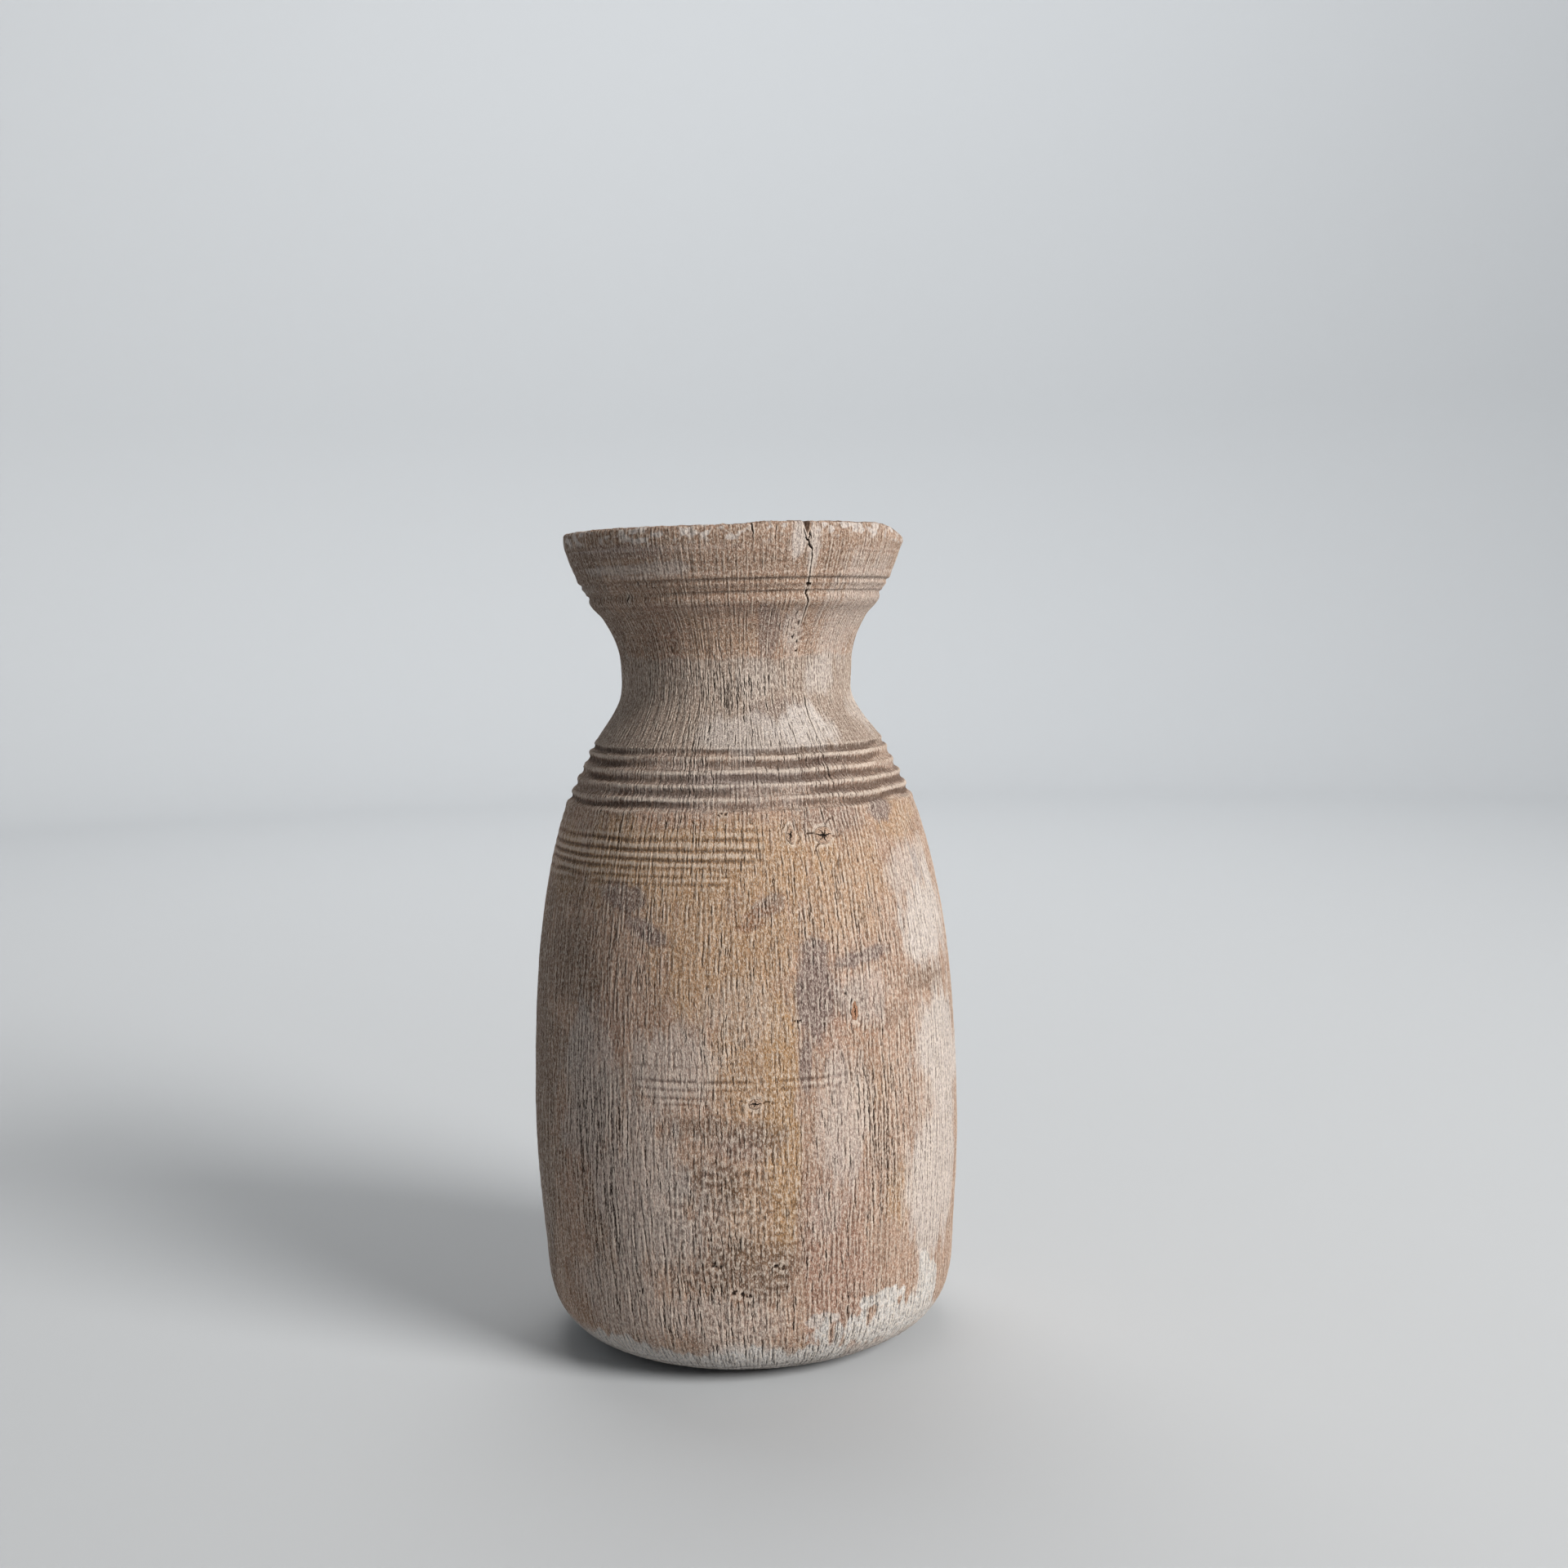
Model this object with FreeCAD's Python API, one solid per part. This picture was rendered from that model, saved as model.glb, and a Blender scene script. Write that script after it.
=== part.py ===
import FreeCAD, Part
import math
import os

# A round wooden pot turned and hollowed from one length of log, with the knots of its side
# branches as separate pegs. Millimetres. +Z is the turning axis, the origin is the centre of
# the foot's flat face, and -Y is the front, the side with the knots.

V = FreeCAD.Vector

# Driving dimensions of the outside
HEIGHT = 290.0
FOOT_FLAT_RADIUS = 38.0
FOOT_TOP = (74.7, 37.0)            # radius and height where the rounded foot meets the wall
FOOT_RUN = 38.5                    # how far the foot's curve runs out along the table
FOOT_RISE = 15.0                   # how far it runs down the wall
FOOT_WALL_SLOPE = 0.08             # the wall's outward lean just above the foot
BELLY_RADIUS = 76.8
BELLY_Z = 74.0
NECK_RADIUS = 41.5
NECK_Z = 237.5
LIP_RADIUS = 60.7
LIP_BAND = 6.8                     # height of the plain band under the rim
LIP_UNDERCUT = 0.5                 # the band's lower edge is this much smaller in radius
FLARE_SLOPE = 0.28                 # the flare's outward lean where it meets the band

# Driving dimensions of the inside
RIM_WALL = 8.2                     # wood thickness across the rim
NECK_WALL = 9.8
BELLY_WALL = 12.3
FLOOR_THICKNESS = 22.0
FLOOR_FLAT_RADIUS = 34.0
RIM_EDGE = 1.6                     # radius of the worn edges of the rim
THROAT_SLOPE = 0.15                # the hollow's inward lean just below the rim

# Lathe marks on the outside: height of the middle, half height and depth of each groove
SHOULDER_LEDGE = (213.4, 0.9, 0.5)
SHOULDER_GROOVES = [(z, 1.5, 0.6) for z in (196.1, 200.5, 204.9, 209.3)]
FLARE_LINES = [(z, 0.5, 0.3) for z in (266.3, 270.4)]

# Notch where the longest drying crack opens at the rim: degrees from the front, and size
NOTCH_ANGLE = 24.0
NOTCH_WIDTH = 2.4
NOTCH_DEPTH = 4.2
NOTCH_OVERRUN = 1.0                # the cutting wedge stands this far above the rim

# Knots: node, degrees from the front, height, half width, half height at the outer surface
KNOTS = [
    ("knot_star", 25.1, 185.7, 3.4, 3.2),
    ("knot_eye", 14.8, 186.4, 1.8, 2.8),
    ("knot_pin", 29.2, 127.3, 1.3, 3.4),
    ("knot_low", 2.0, 99.6, 2.4, 1.7),
]
KNOT_TAPER = 0.72                  # size at the inner end, over the size at the outer
KNOT_LENGTH = 24.0                 # more than the wall is thick, so that a knot goes right through
KNOT_OVERRUN = 4.0                 # how far the uncut peg stands out of the wall
KNOT_RISE = 0.7                    # a branch leaves the trunk upward, so its outer end is higher
KNOT_DROP = 4.0                    # and its inner end is lower

BISECTION_STEPS = 50               # halvings that find a height on the side's curve


def outline_point(radius, height):
    return V(radius, 0, height)


def spline_through(points, start_slope, end_slope):
    curve = Part.BSplineCurve()
    curve.interpolate(Points=[outline_point(*p) for p in points],
                      InitialTangent=outline_point(*start_slope),
                      FinalTangent=outline_point(*end_slope))
    return curve


def span_edges(curve, start, end):
    """One edge for each polynomial span of the spline between two parameters."""
    piece = curve.copy()
    piece.segment(start, end)
    return [span.toShape() for span in piece.toBezier()]


def arc_edge(start, middle, end):
    return Part.Arc(start, middle, end).toShape()


def foot_edge():
    flat_end = (FOOT_FLAT_RADIUS, 0)
    out_along_table = (FOOT_FLAT_RADIUS + FOOT_RUN, 0)
    below_wall = (FOOT_TOP[0] - FOOT_WALL_SLOPE * FOOT_RISE, FOOT_TOP[1] - FOOT_RISE)
    curve = Part.BezierCurve()
    curve.setPoles([outline_point(*p) for p in (flat_end, out_along_table, below_wall, FOOT_TOP)])
    return curve.toShape()


def side_curve():
    """Belly, shoulder, neck and flare, from the foot up to the lip band."""
    band_bottom = (LIP_RADIUS - LIP_UNDERCUT, HEIGHT - LIP_BAND)
    points = [
        FOOT_TOP,
        (BELLY_RADIUS, BELLY_Z),
        (76.2, 108.0),
        (74.1, 139.0),
        (69.3, 169.0),
        (60.1, 198.5),
        (55.8, 207.1),
        (52.6, 213.4),
        (46.3, 222.8),
        (NECK_RADIUS + 0.6, 231.2),
        (NECK_RADIUS, NECK_Z),
        (42.5, 248.0),
        (47.2, 258.2),
        (53.4, 267.8),
        band_bottom,
    ]
    return spline_through(points, start_slope=(FOOT_WALL_SLOPE, 1.0), end_slope=(FLARE_SLOPE, 1.0))


SIDE = side_curve()


def side_parameter(height):
    """Parameter of the side curve at a height, which always rises along the curve."""
    low, high = SIDE.FirstParameter, SIDE.LastParameter
    for _ in range(BISECTION_STEPS):
        middle = (low + high) / 2
        if SIDE.value(middle).z < height:
            low = middle
        else:
            high = middle
    return middle


def outside_radius(height):
    return SIDE.value(side_parameter(height)).x


def side_edges():
    """The side with each lathe mark as an arc that dips into the wood."""
    edges = []
    start = SIDE.FirstParameter
    for height, half_height, depth in SHOULDER_GROOVES + [SHOULDER_LEDGE] + FLARE_LINES:
        below, above = side_parameter(height - half_height), side_parameter(height + half_height)
        along = SIDE.tangent(side_parameter(height))[0]
        bottom = SIDE.value(side_parameter(height)) + V(-along.z, 0, along.x) * depth
        edges += span_edges(SIDE, start, below)
        edges.append(arc_edge(SIDE.value(below), bottom, SIDE.value(above)))
        start = above
    return edges + span_edges(SIDE, start, SIDE.LastParameter)


def inner_edges():
    """The hollow, from the rim's inner edge down to the floor."""
    belly_inside = BELLY_RADIUS - BELLY_WALL
    neck_inside = NECK_RADIUS - NECK_WALL
    points = [
        (LIP_RADIUS - RIM_WALL, HEIGHT - RIM_EDGE),
        (46.5, 272.5),
        (38.0, 256.5),
        (33.0, 246.0),
        (neck_inside, NECK_Z),
        (33.2, 228.0),
        (41.0, 214.0),
        (48.5, 198.0),
        (57.0, 170.0),
        (62.0, 138.0),
        (belly_inside, 106.0),
        (belly_inside, 74.0),
        (60.0, 46.0),
        (50.0, 30.0),
        (FLOOR_FLAT_RADIUS, FLOOR_THICKNESS),
    ]
    curve = spline_through(points, start_slope=(-THROAT_SLOPE, -1.0), end_slope=(-1.0, 0.0))
    return span_edges(curve, curve.FirstParameter, curve.LastParameter)


def rim_edges():
    """Lip band, rounded outer edge, flat rim and rounded inner edge, from outside to inside."""
    corner = RIM_EDGE * (1 - math.sqrt(0.5))
    inner_radius = LIP_RADIUS - RIM_WALL
    band_bottom = outline_point(LIP_RADIUS - LIP_UNDERCUT, HEIGHT - LIP_BAND)
    band_top = outline_point(LIP_RADIUS, HEIGHT - RIM_EDGE)
    rim_outer = outline_point(LIP_RADIUS - RIM_EDGE, HEIGHT)
    rim_inner = outline_point(inner_radius + RIM_EDGE, HEIGHT)
    return [
        Part.makeLine(band_bottom, band_top),
        arc_edge(band_top, outline_point(LIP_RADIUS - corner, HEIGHT - corner), rim_outer),
        Part.makeLine(rim_outer, rim_inner),
        arc_edge(rim_inner, outline_point(inner_radius + corner, HEIGHT - corner),
                 outline_point(inner_radius, HEIGHT - RIM_EDGE)),
    ]


def turned_blank():
    base_centre = outline_point(0, 0)
    floor_edge = outline_point(FLOOR_FLAT_RADIUS, FLOOR_THICKNESS)
    floor_centre = outline_point(0, FLOOR_THICKNESS)
    edges = [Part.makeLine(base_centre, outline_point(FOOT_FLAT_RADIUS, 0)), foot_edge()]
    edges += side_edges() + rim_edges() + inner_edges()
    edges += [Part.makeLine(floor_edge, floor_centre), Part.makeLine(floor_centre, base_centre)]
    return Part.Face(Part.Wire(edges)).revolve(V(0, 0, 0), V(0, 0, 1), 360)


def rim_notch():
    """Wedge across the rim, its point downward, turned to its place."""
    start = LIP_RADIUS - 2 * RIM_WALL
    top = HEIGHT + NOTCH_OVERRUN
    half = NOTCH_WIDTH / 2 * (NOTCH_DEPTH + NOTCH_OVERRUN) / NOTCH_DEPTH
    corners = [V(-half, -start, top), V(half, -start, top), V(0, -start, HEIGHT - NOTCH_DEPTH)]
    wedge = Part.Face(Part.makePolygon(corners + corners[:1])).extrude(V(0, -3 * RIM_WALL, 0))
    wedge.rotate(V(0, 0, 0), V(0, 0, 1), NOTCH_ANGLE)
    return wedge


def knot_blank(angle, height, half_width, half_height):
    """Tapered elliptical peg along a radius, longer than the wall is thick."""
    outer_end = outside_radius(height) + KNOT_OVERRUN
    inner_end = outer_end - KNOT_LENGTH

    def section(distance, scale, lift):
        wide = half_width >= half_height
        centre = V(0, -distance, height + lift)
        long_axis = V(1, 0, 0) if wide else V(0, 0, 1)
        short_axis = V(0, 0, 1) if wide else V(1, 0, 0)
        long_half, short_half = max(half_width, half_height), min(half_width, half_height)
        ellipse = Part.Ellipse(centre + long_axis * (long_half * scale),
                               centre + short_axis * (short_half * scale), centre)
        return Part.Wire([ellipse.toShape()])

    ends = [section(outer_end, 1.0, KNOT_RISE), section(inner_end, KNOT_TAPER, -KNOT_DROP)]
    peg = Part.makeLoft(ends, True, True)
    peg.rotate(V(0, 0, 0), V(0, 0, 1), angle)
    return peg


def build():
    body = turned_blank().cut(rim_notch())
    nodes = {}
    for name, angle, height, half_width, half_height in KNOTS:
        peg = knot_blank(angle, height, half_width, half_height)
        nodes[name] = body.common(peg)
        body = body.cut(peg)
    nodes["turned_body"] = body
    return nodes


os.makedirs("parts", exist_ok=True)
for node, shape in build().items():
    solid = shape.Solids[0]
    box = solid.BoundBox
    print(node, "solids", len(shape.Solids), "valid", solid.isValid(), "volume", round(solid.Volume, 1),
          "box", [round(v, 2) for v in (box.XMin, box.XMax, box.YMin, box.YMax, box.ZMin, box.ZMax)])
    solid.exportStep("parts/" + node + ".step")
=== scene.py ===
import math

import bpy
import numpy as np
from mathutils import Matrix, Vector


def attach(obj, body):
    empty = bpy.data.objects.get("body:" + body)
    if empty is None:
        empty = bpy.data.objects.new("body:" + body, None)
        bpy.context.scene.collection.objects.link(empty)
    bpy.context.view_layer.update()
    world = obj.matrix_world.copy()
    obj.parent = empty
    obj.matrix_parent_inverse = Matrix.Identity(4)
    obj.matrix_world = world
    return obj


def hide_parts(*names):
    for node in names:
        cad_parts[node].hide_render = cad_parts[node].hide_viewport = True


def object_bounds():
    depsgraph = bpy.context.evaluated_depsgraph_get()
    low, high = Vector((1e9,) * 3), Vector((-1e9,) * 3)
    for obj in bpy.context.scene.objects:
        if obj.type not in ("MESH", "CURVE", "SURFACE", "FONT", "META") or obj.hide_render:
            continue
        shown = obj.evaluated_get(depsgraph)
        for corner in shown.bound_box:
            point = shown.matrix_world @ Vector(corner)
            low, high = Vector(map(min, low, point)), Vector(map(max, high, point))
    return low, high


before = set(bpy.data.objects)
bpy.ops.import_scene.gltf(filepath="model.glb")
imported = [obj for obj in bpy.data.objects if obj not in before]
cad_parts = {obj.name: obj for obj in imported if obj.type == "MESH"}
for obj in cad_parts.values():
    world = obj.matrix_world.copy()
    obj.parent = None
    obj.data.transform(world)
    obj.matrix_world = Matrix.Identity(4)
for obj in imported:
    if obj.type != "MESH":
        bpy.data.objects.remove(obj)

# A weathered wooden pot turned from one log. The body is one dense closed mesh round the
# outline of its CAD node, carved with lathe grooves, grain checks, cracks, wear and pits.
# Each knot is a piece of its own in a recess of the body. Stains, and some painted highlights and
# shade, are painted as masks on the mesh, and the wood's material turns them into colour.
#
# Lengths are in millimetres until a mesh is made, and in metres for the stage, the lamps and
# the camera. Angles are in degrees from the front, -Y, and positive towards +X. Heights are
# above the surface that the pot stands on.

bpy.context.view_layer.update()
CAD_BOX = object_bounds()
MM = 0.001
TOP = CAD_BOX[1].z / MM

# Grid of the body's mesh
COLUMNS = 1728                     # round the pot
FRONT_CROWDING = 0.25              # how much closer together the columns are at the front
COARSE = 4                         # columns taken together deep inside and under the foot
SIDE_STEP, GROOVE_STEP, RIM_STEP = 0.5, 0.4, 0.33
MOUTH_STEP, HOLLOW_STEP, FLAT_STEP = 0.8, 1.8, 1.6
MOUTH_DEPTH = 44                   # how far down the hollow the mesh stays fine
REFERENCE_RADIUS = 70.0            # noise cells have their stated width at this radius

MASKS = ("check", "crest_highlight_shade", "bleach_and_painted_light", "ochre", "rose", "violet", "umber_and_shade", "rust", "chalk", "brown",
         "grey", "inside", "end_grain")


# ---- outline, rows and columns

def read_array(collection, name, width, kind=np.float32):
    values = np.zeros(len(collection) * width, kind)
    collection.foreach_get(name, values)
    return values.reshape(-1, width)


def cad_outline():
    """Radius and height of the CAD body's outline, in order from the edge of the foot's flat
    face, up the outside, over the rim and down the hollow to the edge of its floor."""
    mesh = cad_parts["turned_body"].data
    place = read_array(mesh.vertices, "co", 3) / MM
    ends = read_array(mesh.edges, "vertices", 2, np.int32)
    on_seam = (np.abs(place[:, 1]) < 0.01) & (place[:, 0] > 0)
    links = {}
    for pair in ends[on_seam[ends].all(axis=1)]:
        one, other = (tuple(np.round(place[k][[0, 2]], 2)) for k in pair)
        if one != other:
            links.setdefault(one, set()).add(other)
            links.setdefault(other, set()).add(one)
    chain = [min((p for p in links if len(links[p]) == 1), key=lambda p: p[1])]
    while links[chain[-1]]:
        ahead = links[chain[-1]].pop()
        links[ahead].discard(chain[-1])
        chain.append(ahead)
    return np.array(chain, float)


def smooth_through(distance, values, wanted):
    """Cubic curve through values at the given distances, read at the wanted distances."""
    slope = np.gradient(values, distance)
    k = np.clip(np.searchsorted(distance, wanted) - 1, 0, len(distance) - 2)
    gap = distance[k + 1] - distance[k]
    t = (wanted - distance[k]) / gap
    return ((2 * t**3 - 3 * t**2 + 1) * values[k] + (t**3 - 2 * t**2 + t) * gap * slope[k]
            + (3 * t**2 - 2 * t**3) * values[k + 1] + (t**3 - t**2) * gap * slope[k + 1])


def lay_rows():
    """Rows of the mesh along the outline, from the middle of the foot to the middle of the
    floor: their distance along it, radius, height and outward normal. Then how far along it
    the edge of the foot's flat, the top of the rim and the edge of the floor are."""
    chain = cad_outline()
    chain = np.vstack([(0.0, 0.0), chain, (0.0, chain[-1][1])])
    distance = np.r_[0, np.cumsum(np.hypot(*np.diff(chain, axis=0).T))]
    rim = int(np.argmax(chain[:, 1]))
    foot_edge, floor_edge = distance[1], distance[-2]

    def up_outside(height):
        return np.interp(height, chain[1:rim, 1], distance[1:rim])

    steps = [(0, FLAT_STEP), (foot_edge, FLAT_STEP), (foot_edge + 6, SIDE_STEP),
             (up_outside(190), SIDE_STEP), (up_outside(194), GROOVE_STEP),
             (up_outside(214), GROOVE_STEP), (up_outside(218), SIDE_STEP),
             (up_outside(TOP - 26), SIDE_STEP), (up_outside(TOP - 10), RIM_STEP),
             (distance[rim] + 10, RIM_STEP), (distance[rim] + 16, MOUTH_STEP),
             (distance[rim] + MOUTH_DEPTH, MOUTH_STEP),
             (distance[rim] + MOUTH_DEPTH + 12, HOLLOW_STEP), (floor_edge, HOLLOW_STEP)]
    fine = np.linspace(0, distance[-1], 20000)
    count = np.cumsum(1 / np.interp(fine, *np.array(steps).T))
    along = np.interp(np.arange(1, int(count[-1] * fine[1])), count * fine[1], fine)
    radius = smooth_through(distance, chain[:, 0], along)
    height = smooth_through(distance, chain[:, 1], along)
    d_radius, d_height = np.gradient(radius), np.gradient(height)
    size = np.hypot(d_radius, d_height)
    marks = foot_edge, distance[rim], floor_edge
    return along, radius, height, d_height / size, -d_radius / size, marks


ALONG, RADIUS, HEIGHT, NORMAL_R, NORMAL_Z, LANDMARKS = lay_rows()
FOOT_EDGE_ALONG, RIM_ALONG, FLOOR_EDGE_ALONG = LANDMARKS
ROWS = len(ALONG)
FIRST_SIDE = int(np.searchsorted(ALONG, FOOT_EDGE_ALONG))
LAST_SIDE = int(np.searchsorted(ALONG, RIM_ALONG))
SIDE = slice(FIRST_SIDE, LAST_SIDE)
FINE_END = int(np.searchsorted(ALONG, RIM_ALONG + MOUTH_DEPTH + 14))


def column_angle(column):
    """Angle in radians at a column, which needn't be whole or within one turn."""
    turn = -math.pi + 2 * math.pi * column / COLUMNS
    return turn - FRONT_CROWDING * np.sin(turn)


ANGLE = column_angle(np.arange(COLUMNS))
DEGREES = np.degrees(ANGLE)
ANGLE_TABLE = column_angle(np.arange(COLUMNS + 1))


def column_at(angle):
    wrapped = (np.asarray(angle) + math.pi) % (2 * math.pi) - math.pi
    return np.interp(wrapped, ANGLE_TABLE, np.arange(COLUMNS + 1))


def wall_radius(height):
    """Radius of the outside at a height."""
    return np.interp(height, HEIGHT[SIDE], RADIUS[SIDE])


def side_row(height):
    """Row of the outside at a height."""
    return np.interp(height, HEIGHT[SIDE], np.arange(FIRST_SIDE, LAST_SIDE))


# ---- noise and masks

def smoothstep(low, high, value):
    t = np.clip((value - low) / (high - low), 0, 1)
    return t * t * (3 - 2 * t)


def noise(seed, across, along, octaves=1, rows=slice(None)):
    """Smooth noise from about -1 to 1 on the grid, in cells of the given size in mm."""
    total, amount, weight = 0.0, 1.0, 0.0
    for octave in range(octaves):
        rng = np.random.default_rng(seed * 31 + octave)
        cells = max(4, round(2 * math.pi * REFERENCE_RADIUS / across * 2**octave))
        lattice = rng.uniform(-1, 1, (int(ALONG[-1] / along * 2**octave) + 3, cells))
        u = (ANGLE + math.pi) / (2 * math.pi) * cells
        v = ALONG[rows] / along * 2**octave
        i, j = np.floor(v).astype(int), np.floor(u).astype(int) % cells
        s = smoothstep(0, 1, v % 1)[:, None]
        t = smoothstep(0, 1, u % 1)
        lines = lattice[i] * (1 - s) + lattice[i + 1] * s
        total = total + amount * (lines[:, j] * (1 - t) + lines[:, (j + 1) % cells] * t)
        weight += amount
        amount *= 0.5
    return total / weight * 1.4


RAGGED = 0.55 * noise(11, 9, 16, 3, SIDE) + 0.45 * noise(12, 2.2, 9, 3, SIDE)


def patch(angle, height, half_angle, half_height, tilt=0.0, soft=0.35, ragged=0.45):
    """Ragged soft-edged ellipse on the outside, from 0 to 1. A positive tilt leans it right."""
    around = (ANGLE - math.radians(angle) + math.pi) % (2 * math.pi) - math.pi
    radius = wall_radius(height)
    x = np.degrees(around)[None, :]
    y = (HEIGHT[SIDE] - height)[:, None]
    mm_per_degree = math.radians(radius)
    lean = math.tan(math.radians(tilt)) / mm_per_degree
    miss = np.hypot((x - lean * y) / half_angle, y / half_height) + ragged * RAGGED
    return 1 - smoothstep(1 - soft, 1 + soft, miss)


def band(low, high, soft=1.5, wander=1.0):
    """Level band of the outside between two heights, from 0 to 1."""
    height = HEIGHT[SIDE][:, None] + wander * noise(13, 14, 30, 2, SIDE)
    return smoothstep(low - soft, low + soft, height) * (1 - smoothstep(high - soft, high + soft, height))


# ---- marks in the wood

# Stains and bleached places on the outside, a few of them partly painted shade and light: mask, then patches
# as (angle, height, half angle, half height, strength), and a tilt where a patch leans
STAINS = {
    "ochre": [
        (-12, 178, 42, 16, 0.75), (-6, 150, 20, 24, 0.7), (2, 118, 13, 30, 0.65),
        (8.5, 98, 4.5, 44, 1.0), (9, 76, 4, 24, 1.0), (4, 62, 9, 18, 0.5), (30, 168, 16, 18, 0.5),
        (30, 108, 9, 16, 0.4), (42, 62, 6, 12, 0.6), (16, 11, 4, 6, 0.7), (58, 188, 14, 9, 0.6),
        (-62, 176, 14, 12, 0.6), (150, 140, 26, 50, 0.7), (-150, 90, 22, 44, 0.6),
        (-160, 176, 30, 18, 0.6), (100, 96, 14, 40, 0.4), (175, 60, 10, 46, 0.8),
        (-20, 252, 40, 7, 0.35), (-112, 176, 24, 16, 0.7), (-128, 52, 10, 34, 0.7),
        (128, 178, 20, 14, 0.7),
    ],
    "rose": [
        (22, 40, 12, 26, 0.8), (24, 66, 12, 16, 0.5), (30, 122, 11, 18, 0.5), (-40, 120, 10, 14, 0.5),
        (-45, 80, 16, 30, 0.5), (-34, 254, 12, 12, 0.8), (-2, 262, 14, 8, 0.5), (-20, 193, 12, 4, 0.6),
        (-120, 60, 26, 40, 0.5), (130, 40, 26, 26, 0.5), (170, 262, 30, 12, 0.5),
        (-166, 96, 16, 40, 0.6), (112, 120, 14, 30, 0.5), (-120, 256, 24, 12, 0.6),
    ],
    "violet": [
        (50, 192, 6, 4, 0.9), (7, 164, 4, 3.4, 0.6, 30), (18.5, 134, 4.5, 14, 0.9),
        (34, 145, 9, 3.4, 0.9, 60), (19, 149, 3.5, 3, 0.8), (-35, 166, 7, 4.5, 0.8, -20),
        (-26, 155, 5, 5, 0.8, -50), (15, 110, 1.6, 12, 0.8), (62, 172, 3, 9, 0.8, -12),
        (26, 190, 12, 5, 0.5), (16, 254, 6, 10, 0.6), (20, 227, 14, 4, 0.5, 10),
        (-40, 281, 18, 3, 0.5), (0, 86, 9, 5, 0.5), (-108, 158, 9, 7, 0.8, 30),
        (-126, 122, 5, 12, 0.7), (140, 118, 6, 14, 0.8), (-172, 136, 8, 5, 0.8, 40),
        (-150, 205, 24, 5, 0.6), (160, 168, 8, 4, 0.7, -40),
    ],
    "umber_and_shade": [
        (-58, 142, 20, 15, 0.7), (-62, 112, 16, 9, 0.6), (-64, 168, 16, 9, 0.5), (-12, 92, 8, 4, 0.7),
        (2, 90, 8, 4, 0.6), (60, 133, 11, 6, 0.75, -30), (68, 118, 8, 5, 0.75), (0, 42, 13, 10, 0.75),
        # (-76, 90), (-72, 262) and (-46, 258) darken the left side, away from the window lamp: partly umber
        # stain, partly painted shade.
        (-12, 72, 12, 8, 0.65), (-16, 52, 10, 12, 0.4), (-76, 90, 17, 78, 0.95),
        (28.5, 131, 4, 5, 0.7), (30, 108, 12, 5, 0.3), (-72, 262, 19, 26, 1.0),
        (-46, 258, 12, 12, 0.5), (-74, 200, 10, 14, 0.4), (-34, 106, 12, 5, 0.4), (40, 124, 8, 5, 0.4),
        (-130, 120, 16, 20, 0.6), (160, 86, 12, 10, 0.5), (110, 150, 12, 10, 0.5, 20),
    ],
    "rust": [
        (1, 157.5, 3.6, 2.2, 1.0, 55), (3.6, 161.5, 3.6, 2.0, 0.9, 60), (28, 253, 4.5, 8, 0.5),
        (28, 127, 2.2, 3.4, 0.8), (70, 184, 8, 3, 0.7), (15, 75, 1.3, 1.6, 0.8),
        (30, 80, 1.3, 1.2, 0.7), (-100, 190, 8, 4, 0.4), (170, 154, 5, 4, 0.6, -30),
    ],
    "bleach_and_painted_light": [
        (63, 153, 15, 16, 1.0), (58, 170, 12, 12, 0.55), (64, 104, 16, 24, 0.85),
        (58, 62, 14, 28, 0.8), (-44, 100, 13, 24, 0.5), (-30, 68, 16, 30, 0.5), (-12, 26, 20, 9, 0.4),
        (-18, 112, 12, 14, 0.45), (24, 92, 8, 22, 0.5), (-36, 30, 16, 14, 0.4), (-8, 60, 10, 8, 0.2),
        (20, 60, 5, 10, 0.3), (-2, 130, 10, 10, 0.25), (34, 132, 8, 9, 0.4), (30, 221, 15, 7, 0.9),
        (34, 222, 8, 4, 1.0), (4, 219, 26, 6, 0.6), (44, 238, 10, 7, 0.55), (10, 237, 14, 7, 0.3),
        # (58, 262) pales the flare's right side, towards the window lamp: partly bleached wood, partly
        # painted light.
        (58, 262, 22, 22, 0.4), (21.5, 284, 3, 7, 0.7), (27, 280, 2, 9, 0.6), (26, 253, 5, 9, 0.45),
        (-36, 275, 22, 2, 0.45), (-8, 203, 40, 9, 0.3), (-147, 152, 8, 14, 0.6),
        (-135, 143, 9, 8, 0.6, 20), (-126, 151, 5, 15, 0.5), (111, 60, 8, 24, 0.5),
        (123, 80, 9, 16, 0.5), (134, 56, 6, 20, 0.5), (-95, 46, 18, 26, 0.5), (-153, 56, 6, 24, 0.55),
        (-145, 84, 5, 18, 0.5), (-116, 96, 12, 22, 0.5), (158, 108, 12, 20, 0.5),
        (-130, 221, 26, 6, 0.7), (140, 20, 30, 14, 0.5), (150, 200, 30, 16, 0.4),
        (90, 225, 30, 8, 0.5), (-170, 232, 30, 10, 0.4),
    ],
    "chalk": [
        (44, 17, 20, 9, 1.0), (38, 27, 9, 3, 1.0), (56, 25, 8, 9, 0.8), (0, 8, 32, 5.5, 0.95),
        (-42, 9, 24, 5.5, 0.85), (18, 24, 5, 2, 0.6), (-150, 14, 20, 6, 0.6), (110, 12, 24, 6, 0.6),
    ],
}

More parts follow.
